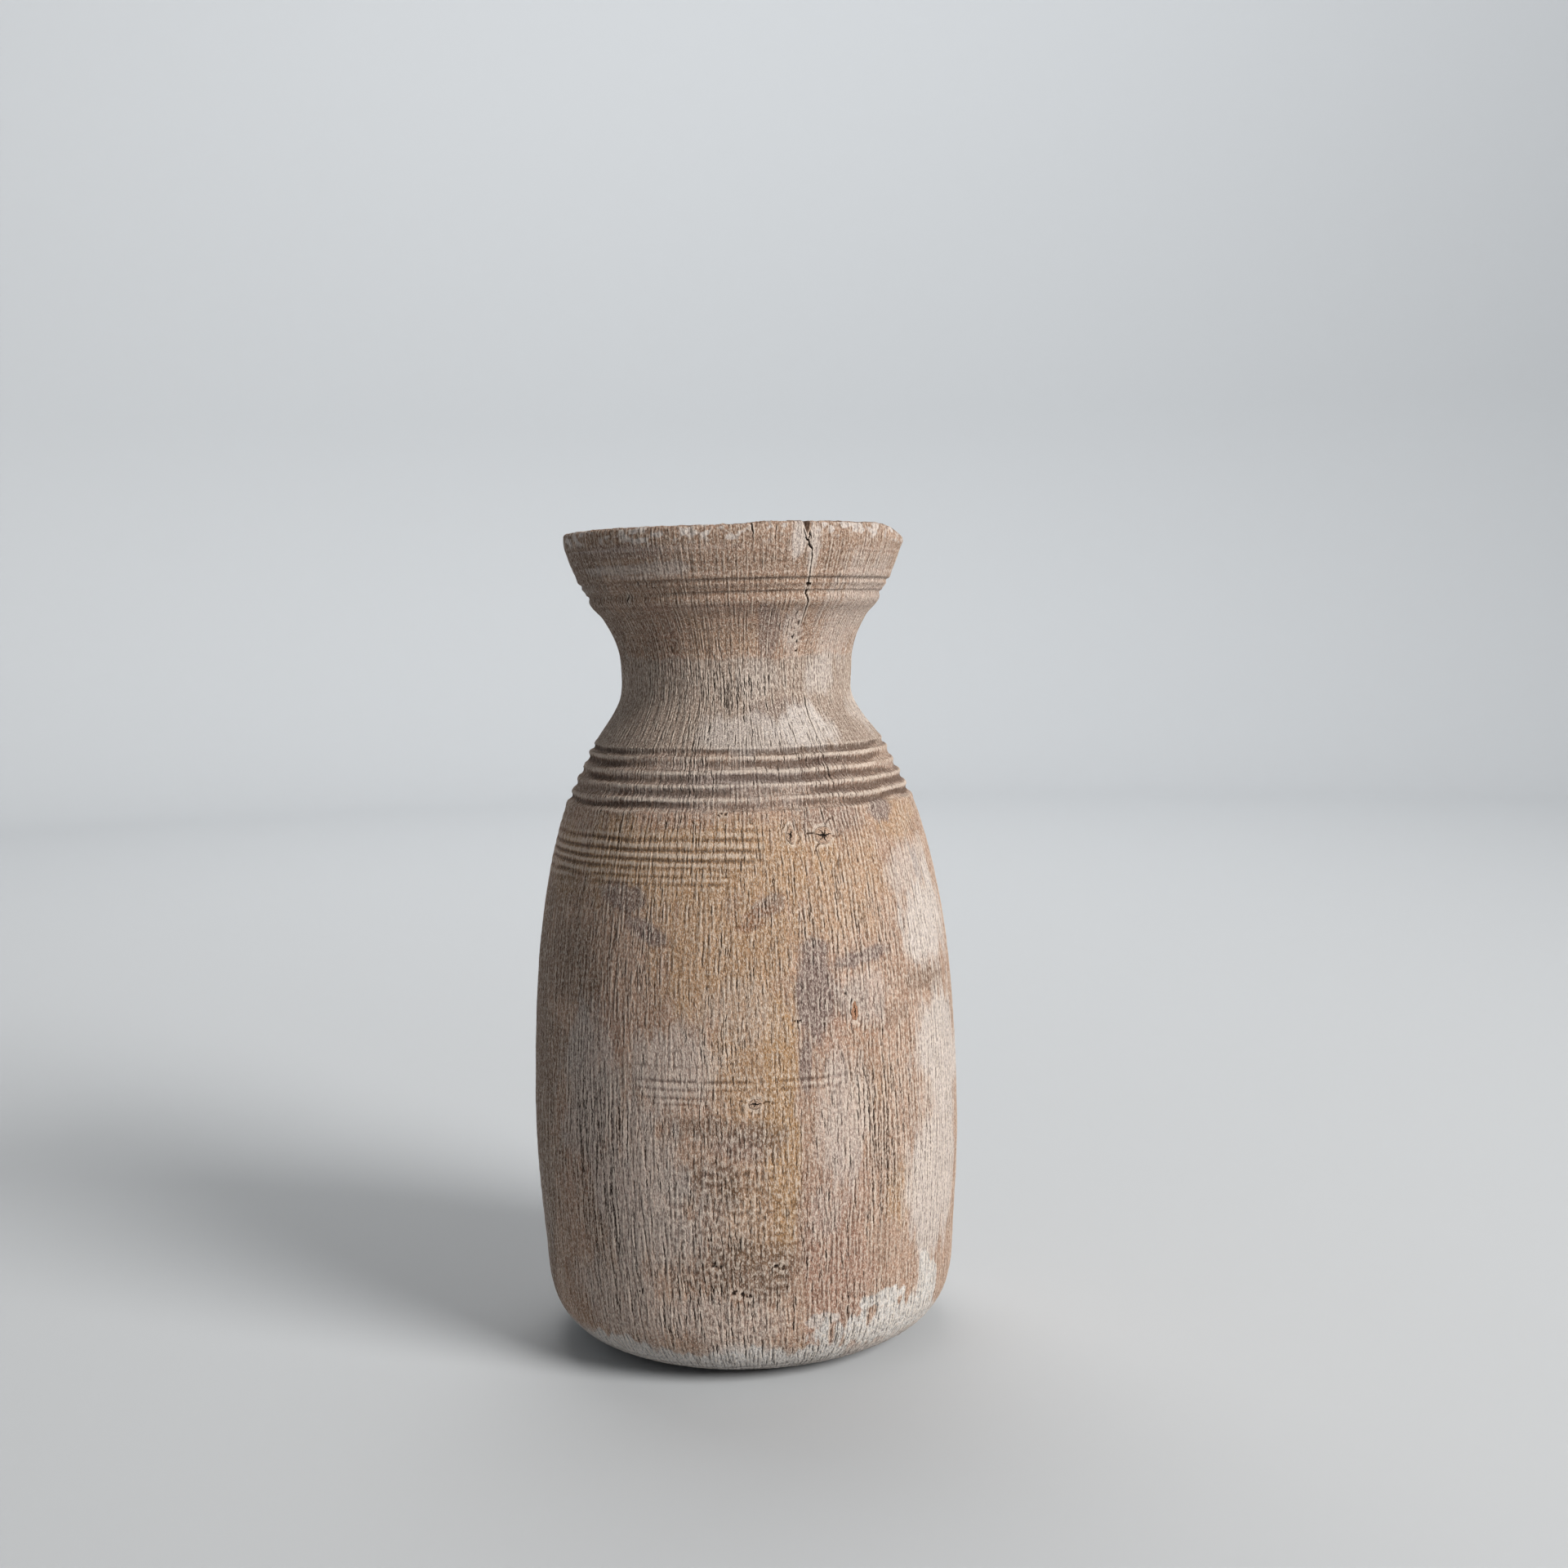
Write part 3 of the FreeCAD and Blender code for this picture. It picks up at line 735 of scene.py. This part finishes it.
def shape_body():
    """Every grid point's place in mm, and the masks that colour it."""
    mask = place_zones()
    rough = rough_places()
    checks = check_relief(rough)
    foot, star = foot_relief()
    fade_side = np.zeros(ROWS)
    fade_side[SIDE] = smoothstep(0, 6, ALONG[SIDE] - FOOT_EDGE_ALONG)
    fade_side[LAST_SIDE:LAST_SIDE + 30] = 1
    fade_side = fade_side[:, None]
    dark = checks.copy()
    knot_recesses(checks)
    hollow, hollow_checks = hollow_relief()
    chip = neck_chip()
    sunk = fade_side * (ring_relief() + checks + chip - weathering(rough)) + foot + hollow
    ripple = groove_ripple()
    sunk[SIDE] += ripple
    radius = RADIUS[:, None] - NORMAL_R[:, None] * sunk
    height = np.maximum(HEIGHT[:, None] - NORMAL_Z[:, None] * sunk - rim_shift(), 0)
    dark += hollow_checks + star
    # Checks, cracks and the foot's star get painted shade, darker the deeper they are
    mask["check"][:] = np.clip(dark / CHECK_DARKENING_DEPTH, 0, 1)
    # Grain standing above its surroundings is painted pale, partly as wear and partly as a painted
    # highlight, and grain sunk below them gets painted shade. The shoulder's grooves get painted shade and
    # their ridges a painted highlight.
    grain = np.minimum(sunk - chip, 1.0)
    crest_highlight_shade = (local_mean(grain) - grain) / CREST_HEIGHT
    crest_highlight_shade[SIDE] -= 3.0 * ripple
    mask["crest_highlight_shade"][:] = np.clip(crest_highlight_shade, -1, 1)
    # The chip's hollow is darkened: partly fresh wood, partly painted shade.
    mask["umber_and_shade"] = np.maximum(mask["umber_and_shade"], 0.3 * chip / NECK_CHIP[4])
    place = np.stack([radius * np.sin(ANGLE), -radius * np.cos(ANGLE), height], axis=-1)
    return place, mask


# ---- mesh making

def add_object(name, data):
    made = bpy.data.objects.new(name, data)
    bpy.context.scene.collection.objects.link(made)
    return made


def mesh_from(name, vertices, faces):
    """Mesh from an array of points in mm and arrays of faces, each array with its own number
    of corners a face."""
    mesh = bpy.data.meshes.new(name)
    mesh.vertices.add(len(vertices))
    mesh.vertices.foreach_set("co", (np.asarray(vertices, np.float32) * MM).ravel())
    corners = np.concatenate([f.ravel() for f in faces])
    sizes = np.concatenate([np.full(len(f), f.shape[1]) for f in faces])
    mesh.loops.add(len(corners))
    mesh.loops.foreach_set("vertex_index", corners.astype(np.int32))
    mesh.polygons.add(len(sizes))
    mesh.polygons.foreach_set("loop_start", (np.cumsum(sizes) - sizes).astype(np.int32))
    mesh.update(calc_edges=True)
    mesh.shade_smooth()
    return mesh


def unroll_body(mesh, faces, row, column):
    """UV map "OFBake": the outside and the hollow as two strips with the angle across, and the
    two flat faces as discs above them. row and column are each vertex's place on the grid."""
    floor_row = int(np.searchsorted(ALONG, FLOOR_EDGE_ALONG))
    corner = []
    for group in faces:
        across = column[group] / COLUMNS
        across = np.where(across.max(axis=1, keepdims=True) - across > 0.5, across + 1, across)
        along = ALONG[row[group]]
        lowest = row[group].min(axis=1, keepdims=True)
        outside = 0.60 * (along - FOOT_EDGE_ALONG) / (RIM_ALONG - FOOT_EDGE_ALONG)
        hollow = 0.62 + 0.17 * (along - RIM_ALONG) / (ALONG[floor_row] - RIM_ALONG)
        strip = np.stack([0.002 + 0.996 * across, np.where(lowest < LAST_SIDE, outside, hollow)], axis=-1)
        angle = ANGLE_TABLE[column[group]]
        disc_radius = RADIUS[row[group]] / RADIUS[FIRST_SIDE] * 0.09
        middle = np.where(lowest < FIRST_SIDE, 0.15, 0.45)
        disc = np.stack([middle + disc_radius * np.sin(angle), 0.90 - disc_radius * np.cos(angle)], axis=-1)
        flat = (lowest < FIRST_SIDE) | (lowest >= floor_row)
        corner.append(np.where(flat[..., None], disc, strip).reshape(-1, 2))
    layer = mesh.uv_layers.new(name="OFBake")
    layer.data.foreach_set("uv", np.concatenate(corner).astype(np.float32).ravel())


def add_mask(mesh, name, values):
    mesh.attributes.new(name, "FLOAT", "POINT").data.foreach_set("value", values.astype(np.float32))


def new_piece(name, mesh, material, node):
    piece = add_object(name, mesh)
    mesh.materials.append(material)
    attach(piece, "root")
    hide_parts(node)
    return piece


def grid_faces(first, second):
    """Quads between two rings of vertex numbers of the same length."""
    return np.stack([first, np.roll(first, -1), np.roll(second, -1), second], axis=-1)


def joining_faces(fine, coarse):
    """Triangles between a ring and one with every COARSE-th of its points."""
    ahead = np.roll(coarse, -1)
    fine = fine.reshape(len(coarse), COARSE)
    following = np.roll(fine[:, 0], -1)
    half = COARSE // 2
    steps = [*fine.T, following]
    faces = [np.stack([steps[k], steps[k + 1], coarse], axis=-1) for k in range(half)]
    faces.append(np.stack([steps[half], ahead, coarse], axis=-1))
    faces += [np.stack([steps[k], steps[k + 1], ahead], axis=-1) for k in range(half, COARSE)]
    return np.concatenate(faces)


def body_faces(numbers):
    """Faces over the rings. numbers holds each row's ring."""
    quads, triangles = [], []
    for lower, upper in zip(numbers, numbers[1:]):
        if len(lower) == len(upper):
            quads.append(grid_faces(lower, upper))
        elif len(lower) > len(upper):
            triangles.append(joining_faces(lower, upper))
        else:
            triangles.append(joining_faces(upper, lower)[:, ::-1])
    return quads, triangles


def make_body(material):
    place, mask = shape_body()
    rings, numbers, total = [], [], 0
    for row in range(ROWS):
        fine = FIRST_SIDE - 3 <= row < FINE_END
        ring = np.arange(0, COLUMNS, 1 if fine else COARSE)
        rings.append(ring + row * COLUMNS)
        numbers.append(np.arange(len(ring)) + total)
        total += len(ring)
    used = np.concatenate(rings)
    points = place.reshape(-1, 3)[used]
    poles = np.array([[0, 0, place[0, :, 2].mean()], [0, 0, place[-1, :, 2].mean()]])
    quads, triangles = body_faces(numbers)
    first, last = numbers[0], numbers[-1]
    triangles.append(np.stack([np.full(len(first), total), np.roll(first, -1), first], axis=-1))
    triangles.append(np.stack([last, np.roll(last, -1), np.full(len(last), total + 1)], axis=-1))
    faces = [np.vstack(quads), np.vstack(triangles)]
    mesh = mesh_from("pot_body", np.vstack([points, poles]), faces)
    unroll_body(mesh, faces, np.r_[used // COLUMNS, 0, ROWS - 1], np.r_[used % COLUMNS, 0, 0])
    for name in MASKS:
        values = mask[name].reshape(-1)[used]
        add_mask(mesh, name, np.r_[values, mask[name][0].mean(), mask[name][-1].mean()])
    return new_piece("pot_body", mesh, material, "turned_body")


# ---- knots

KNOT_SECTORS, KNOT_RINGS = 128, 30
SKIRT_DEPTHS = (1.2, 1.9, KNOT_THICKNESS)

# Radial cracks of each knot as (direction in degrees, length as a share of the knot, half
# width in mm, depth in mm)
KNOT_CRACKS = {
    "knot_star": [(5, 1.0, 0.24, 1.1), (62, 0.9, 0.18, 0.8), (118, 0.95, 0.22, 0.9), (171, 1.0, 0.28, 1.2),
                  (228, 0.85, 0.2, 0.8), (287, 0.95, 0.22, 0.9), (331, 0.7, 0.16, 0.7)],
    "knot_eye": [(80, 0.9, 0.2, 0.8), (262, 0.95, 0.22, 0.9), (150, 0.6, 0.14, 0.5)],
    "knot_pin": [(88, 0.95, 0.16, 0.8), (272, 0.9, 0.16, 0.8)],
    "knot_low": [(0, 1.0, 0.2, 0.9), (182, 1.0, 0.22, 0.9), (95, 0.8, 0.14, 0.6), (250, 0.7, 0.14, 0.6)],
}


def knot_frame(angle, height):
    """Point of the outside in mm, and the directions right, up and out there."""
    turn = math.radians(angle)
    radius = wall_radius(height)
    n_r, n_z = (np.interp(height, HEIGHT[SIDE], n[SIDE]) for n in (NORMAL_R, NORMAL_Z))
    size = math.hypot(n_r, n_z)
    outward = np.array([math.sin(turn), -math.cos(turn), 0])
    right = np.array([math.cos(turn), math.sin(turn), 0])
    out = outward * n_r / size + np.array([0, 0, n_z / size])
    return outward * radius + np.array([0, 0, height]), right, np.cross(out, right), out


def knot_relief(node, x, y, share, turn):
    """How far a knot's face stands above the wood round it, and the depth of its cracks."""
    _, _, half_width, half_height = KNOTS[node]
    distance = np.hypot(x, y)
    rings = 0.05 * np.cos(distance * 2 * math.pi / 0.7 + 2 * np.sin(turn * 2))
    lumps = 0.09 * np.sin(3.1 * x + 1.3) * np.cos(2.7 * y) + 0.06 * np.sin(7.3 * x - 4.1 * y)
    dome = 0.3 * (1 - share**2) * min(half_width, half_height) / 3
    crack = np.zeros_like(distance)
    for direction, length, crack_half, deep in KNOT_CRACKS[node]:
        a = math.radians(direction)
        ahead = x * math.cos(a) + y * math.sin(a)
        bend = 0.16 * np.sin(distance * 2.6 + direction) + 0.06 * np.sin(distance * 8)
        off = np.abs(-x * math.sin(a) + y * math.cos(a) + bend)
        reach = max(half_width, half_height) * length
        narrowing = np.clip(1.1 - distance / reach, 0.2, 1)
        opened = np.clip(1 - off / (crack_half * 1.6 * narrowing), 0, 1) * (ahead > -0.15)
        crack = np.maximum(crack, deep * opened * (1 - smoothstep(0.8 * reach, reach, distance)))
    edge = 0.12 * smoothstep(0.85, 1.0, share)
    return dome + rings + lumps - crack - edge - KNOT_SUNK[node], crack


def make_knot(node, material):
    angle, height, half_width, half_height = KNOTS[node]
    centre, right, up, out = knot_frame(angle, height)
    turn = np.arange(KNOT_SECTORS) * 2 * math.pi / KNOT_SECTORS
    share = (np.arange(1, KNOT_RINGS + 1) / KNOT_RINGS)[:, None]
    ragged = knot_outline(node, turn)
    x = half_width * share * np.cos(turn) * ragged
    y = half_height * share * np.sin(turn) * ragged
    level, crack = knot_relief(node, x, y, share, turn)
    cap = centre + x[..., None] * right + y[..., None] * up + level[..., None] * out
    rim = centre + x[-1][:, None] * right + y[-1][:, None] * up
    skirt = [rim - depth * out for depth in SKIRT_DEPTHS]
    poles = [centre + level[0].mean() * out, centre - KNOT_THICKNESS * out]
    points = np.concatenate([cap.reshape(-1, 3), *skirt, poles])
    top, bottom = len(points) - 2, len(points) - 1
    rings = np.arange(top).reshape(-1, KNOT_SECTORS)
    quads = np.vstack([grid_faces(a, b)[:, ::-1] for a, b in zip(rings, rings[1:])])
    first, last = rings[0], rings[-1]
    fans = np.vstack([np.stack([np.full(KNOT_SECTORS, top), first, np.roll(first, -1)], axis=-1),
                      np.stack([np.full(KNOT_SECTORS, bottom), np.roll(last, -1), last], axis=-1)])
    mesh = mesh_from(node, points, [quads, fans])
    # The knot's sides, down in its recess, are painted as dark as its cracks: painted shade in the gap round
    # the knot
    sides = np.ones(len(skirt) * KNOT_SECTORS)
    add_mask(mesh, "check", np.r_[np.clip(crack / 0.35, 0, 1).ravel(), sides, crack[0].mean() > 0.1, 1])
    add_mask(mesh, "from_core", np.r_[(share * np.ones(KNOT_SECTORS)).ravel(), sides, 0, 1])
    add_mask(mesh, "rust", np.full(len(points), float(node == "knot_pin")))
    return new_piece(node + "_wood", mesh, material, node)


# ---- materials

def linear(red, green, blue):
    """Linear colour from sRGB numbers of 11 to 255."""
    return tuple(((c / 255 + 0.055) / 1.055)**2.4 for c in (red, green, blue)) + (1,)


# Places of the colour sockets of a Mix node among its inputs and outputs
COLOUR_SHARE, COLOUR_A, COLOUR_B, COLOUR_RESULT = 0, 6, 7, 2


class Nodes:
    """Short calls for a material's nodes."""

    def __init__(self, name):
        self.material = bpy.data.materials.new(name)
        self.material.use_nodes = True
        self.tree = self.material.node_tree
        self.shader = self.tree.nodes["Principled BSDF"]

    def put(self, socket, value):
        if isinstance(value, bpy.types.NodeSocket):
            self.tree.links.new(value, socket)
        else:
            socket.default_value = value

    def add(self, kind, output, inputs, **settings):
        """Output of a new node whose inputs are numbers or other nodes' outputs."""
        node = self.tree.nodes.new("ShaderNode" + kind)
        for name, value in settings.items():
            setattr(node, name, value)
        for socket, value in inputs.items():
            self.put(node.inputs[socket], value)
        return node.outputs[output]

    def attribute(self, name):
        return self.add("Attribute", "Fac", {}, attribute_name=name)

    def coordinates(self, stretch):
        """Place on the object, multiplied by the given factors along X, Y and Z."""
        place = self.add("TexCoord", "Object", {})
        return self.add("Mapping", "Vector", {"Vector": place, "Scale": stretch})

    def noise(self, vector, scale, detail=3.0, roughness=0.6):
        inputs = {"Vector": vector, "Scale": scale, "Detail": detail, "Roughness": roughness}
        return self.add("TexNoise", "Fac", inputs)

    def math(self, operation, first, second=0.0):
        return self.add("Math", 0, {0: first, 1: second}, operation=operation)

    def fit(self, value, low, high, to_low=0.0, to_high=1.0):
        """Maps value from low..high to to_low..to_high, and holds it there."""
        ends = {"From Min": low, "From Max": high, "To Min": to_low, "To Max": to_high}
        return self.add("MapRange", "Result", {"Value": value, **ends})

    def mix(self, share, first, second):
        """Colour that is the given share of the way from the first to the second."""
        sockets = {COLOUR_SHARE: share, COLOUR_A: first, COLOUR_B: second}
        return self.add("Mix", COLOUR_RESULT, sockets, data_type="RGBA")

    def bump(self, height, distance, strength, below=None):
        inputs = {"Distance": distance, "Strength": strength, "Height": height}
        if below is not None:
            inputs["Normal"] = below
        return self.add("Bump", "Normal", inputs)


# Colours of the wood, and how far each mask takes the wood towards its own
WOOD_LIGHT = linear(197, 162, 139)
WOOD_DARK = linear(162, 126, 103)
STAIN_COLOURS = [
    ("ochre", linear(186, 144, 97), 0.85),
    ("rose", linear(168, 125, 106), 0.78),
    ("brown", linear(150, 119, 97), 0.80),
    ("grey", linear(154, 140, 129), 0.70),
    ("violet", linear(118, 99, 97), 0.88),
    ("umber_and_shade", linear(102, 75, 56), 0.80),
    ("rust", linear(146, 100, 70), 0.75),
    ("bleach_and_painted_light", linear(226, 217, 212), 0.83),
    ("chalk", linear(232, 230, 227), 0.90),
]
# Pale fibres: partly worn pale wood, partly painted sheen of light on raised fibres
PALE_FIBRE_AND_SHEEN = linear(232, 217, 202)
# Dark fibres and pores, also used as painted shade in the hollows of the grain and the grooves
DARK_FIBRE_AND_SHADE = linear(70, 50, 38)
CRACK_COLOUR = linear(46, 33, 26)


def wood_material():
    n = Nodes("weathered_wood")
    even, streaky = n.coordinates((1, 1, 1)), n.coordinates((1, 1, 0.11))
    broad = n.noise(streaky, 120, 4, 0.6)
    streaks = n.noise(streaky, 1000, 4, 0.7)
    fleck = n.noise(n.coordinates((1, 1, 0.35)), 2200, 3, 0.65)
    fuzz = n.noise(n.coordinates((1, 1, 0.35)), 3000, 2, 0.6)
    crest_highlight_shade = n.attribute("crest_highlight_shade")

    colour = n.mix(n.fit(broad, 0.3, 0.7), WOOD_DARK, WOOD_LIGHT)
    frayed = n.math("MULTIPLY", n.math("SUBTRACT", n.math("ADD", streaks, fleck), 1.0), 0.7)
    for name, stain, most in STAIN_COLOURS:
        mask = n.attribute(name)
        share = n.math("ADD", mask, n.math("MULTIPLY", frayed, n.fit(mask, 0, 0.15)))
        colour = n.mix(n.fit(share, 0.06, 0.9, 0, most), colour, stain)
    # The pale specks of fleck and fuzz are partly worn pale fibres, partly painted sheen on raised fibres.
    fibres = [
        (streaks, 0.42, 0.72, 0, 0.42, DARK_FIBRE_AND_SHADE),
        (fleck, 0.54, 0.68, 0, 0.55, PALE_FIBRE_AND_SHEEN),
        (fleck, 0.32, 0.44, 0.48, 0, DARK_FIBRE_AND_SHADE),
        (fuzz, 0.53, 0.63, 0, 0.60, PALE_FIBRE_AND_SHEEN),
        (fuzz, 0.36, 0.46, 0.45, 0, DARK_FIBRE_AND_SHADE),
        # Painted highlight on raised grain, partly worn pale, and painted shade in its hollows and grooves
        (crest_highlight_shade, 0.1, 1.0, 0, 0.52, PALE_FIBRE_AND_SHEEN),
        (crest_highlight_shade, -1.0, -0.1, 0.66, 0, DARK_FIBRE_AND_SHADE),
    ]
    for pattern, low, high, share_low, share_high, fibre in fibres:
        colour = n.mix(n.fit(pattern, low, high, share_low, share_high), colour, fibre)

    colour = n.mix(n.math("MULTIPLY", n.attribute("inside"), 0.75), colour, linear(96, 76, 60))
    end = n.math("MULTIPLY", n.attribute("end_grain"), growth_rings(n, even))
    colour = n.mix(n.math("MULTIPLY", end, 0.55), colour, linear(84, 64, 50))
    # Painted shade in the checks
    colour = n.mix(n.fit(n.attribute("check"), 0.1, 0.9, 0, 0.95), colour, CRACK_COLOUR)

    n.put(n.shader.inputs["Base Color"], colour)
    n.put(n.shader.inputs["Roughness"], n.fit(streaks, 0.3, 0.7, 0.62, 0.88))
    n.shader.inputs["Specular IOR Level"].default_value = 0.25
    relief = n.bump(streaks, 0.0006, 0.7)
    relief = n.bump(fleck, 0.0005, 1.0, relief)
    relief = n.bump(fuzz, 0.0003, 0.8, relief)
    n.put(n.shader.inputs["Normal"], n.bump(n.noise(even, 1100, 4, 0.7), 0.0006, 1.0, relief))
    return n.material


def growth_rings(n, place):
    """Rings round the pith, from 0 to 1."""
    split = n.tree.nodes.new("ShaderNodeSeparateXYZ")
    n.tree.links.new(place, split.inputs[0])
    x = n.math("SUBTRACT", split.outputs["X"], PITH[0] * MM)
    y = n.math("SUBTRACT", split.outputs["Y"], PITH[1] * MM)
    squared = n.math("ADD", n.math("MULTIPLY", x, x), n.math("MULTIPLY", y, y))
    wander = n.math("MULTIPLY", n.noise(place, 30, 3), 0.006)
    distance = n.math("ADD", n.math("POWER", squared, 0.5), wander)
    return n.fit(n.math("SINE", n.math("MULTIPLY", distance, 2100.0)), -0.6, 1.0)


def knot_material():
    n = Nodes("knot_wood")
    even = n.coordinates((1, 1, 1))
    core = n.attribute("from_core")
    grain = n.noise(even, 700, 4, 0.65)
    rings = n.math("SINE", n.math("ADD", n.math("MULTIPLY", core, 24.0), n.math("MULTIPLY", grain, 6.0)))
    colour = n.mix(n.fit(rings, -0.9, 0.9), linear(134, 108, 91), linear(182, 155, 133))
    # Pale specks on the knot: partly worn pale fibres, partly painted sheen.
    colour = n.mix(n.fit(n.noise(even, 1700, 4, 0.7), 0.5, 0.7, 0, 0.5), colour, PALE_FIBRE_AND_SHEEN)
    colour = n.mix(n.fit(core, 0.05, 0.35, 0.6, 0), colour, linear(58, 42, 33))
    colour = n.mix(n.fit(core, 0.93, 1.0, 0, 0.2), colour, linear(70, 52, 42))
    colour = n.mix(n.math("MULTIPLY", n.attribute("rust"), 0.6), colour, linear(150, 98, 62))
    # Painted shade in the knot's cracks
    colour = n.mix(n.fit(n.attribute("check"), 0.1, 0.8, 0, 0.95), colour, linear(30, 21, 17))
    n.put(n.shader.inputs["Base Color"], colour)
    n.put(n.shader.inputs["Roughness"], n.fit(grain, 0.3, 0.7, 0.7, 0.92))
    n.shader.inputs["Specular IOR Level"].default_value = 0.35
    n.put(n.shader.inputs["Normal"], n.bump(n.noise(even, 1800, 4, 0.7), 0.0003, 0.9))
    return n.material


# ---- stage, lights and camera

FLOOR_COLOUR = linear(192, 195, 198)
WORLD_COLOUR, WORLD_STRENGTH = linear(236, 229, 220), 0.05

# Lamps: name, place, target, width, watts, colour and spread in degrees
LAMPS = [
    ("window", (1.7, -1.36, 1.25), (0, 0, 0.8), 1.2, 42.0, (1.0, 0.98, 0.95), 120),
    ("overhead", (-0.2, 1.4, 2.4), (0, 0, 0.15), 1.8, 18.0, (1.0, 0.96, 0.91), 180),
    ("backdrop", (0.1, 0.9, 2.6), (0.2, 2.7, 0.6), 1.8, 27.0, (0.97, 0.985, 1.0), 140),
]


def plain_material(name, colour, roughness):
    n = Nodes(name)
    n.shader.inputs["Base Color"].default_value = colour
    n.shader.inputs["Roughness"].default_value = roughness
    return n.material


def make_stage():
    """Pale round floor that curves up into a pale wall on every side. Lengths in metres."""
    floor_radius, curve, wall, around = 2.1, 0.6, 4.0, 128
    bend = [(floor_radius + curve * math.sin(a), curve * (1 - math.cos(a)))
            for a in np.linspace(0, math.pi / 2, 24)]
    rings = [(0.01, 0), *bend, (floor_radius + curve, wall)]
    turn = np.arange(around) * 2 * math.pi / around
    points = np.concatenate([np.stack([radius * np.sin(turn), radius * np.cos(turn),
                                       np.full(around, float(height))], axis=-1)
                             for radius, height in rings]) / MM
    numbers = np.arange(len(rings) * around).reshape(-1, around)
    quads = np.vstack([grid_faces(inner, outer) for inner, outer in zip(numbers, numbers[1:])])
    floor = add_object("floor", mesh_from("floor", points, [quads, numbers[:1]]))
    floor.data.materials.append(plain_material("floor_paint", FLOOR_COLOUR, 0.85))


def area_light(name, place, target, size, power, colour, spread):
    data = bpy.data.lights.new(name, "AREA")
    data.shape = "DISK"
    data.size = size
    data.energy = power
    data.color = colour
    data.spread = math.radians(spread)
    lamp = add_object(name, data)
    lamp.location = place
    lamp.visible_camera = False
    lamp.rotation_euler = (Vector(target) - Vector(place)).to_track_quat("-Z", "Y").to_euler()


def light_scene():
    for lamp in LAMPS:
        area_light(*lamp)
    world = bpy.data.worlds.new("studio")
    world.use_nodes = True
    background = world.node_tree.nodes["Background"]
    background.inputs["Color"].default_value = WORLD_COLOUR
    background.inputs["Strength"].default_value = WORLD_STRENGTH
    bpy.context.scene.world = world
    bpy.context.scene.view_settings.view_transform = "Standard"


CAMERA_PLACE = (0.0, -0.7064, 0.2577)
CAMERA_PITCH, CAMERA_TURN, CAMERA_ROLL = -4.835, -1.313, -1.3
CAMERA_LENS = 45.0


def make_camera():
    data = bpy.data.cameras.new("camera")
    data.lens = CAMERA_LENS
    data.sensor_width = 36.0
    camera = add_object("camera", data)
    turn = Matrix.Rotation(math.radians(CAMERA_TURN), 4, "Z")
    tip = Matrix.Rotation(math.radians(90 + CAMERA_PITCH), 4, "X")
    roll = Matrix.Rotation(math.radians(CAMERA_ROLL), 4, "Z")
    camera.matrix_world = Matrix.Translation(CAMERA_PLACE) @ turn @ tip @ roll
    bpy.context.scene.camera = camera


wood = wood_material()
knot_wood = knot_material()
make_body(wood)
for knot in KNOT_NODES:
    make_knot(knot, knot_wood)
make_stage()
light_scene()
make_camera()

bpy.context.view_layer.update()
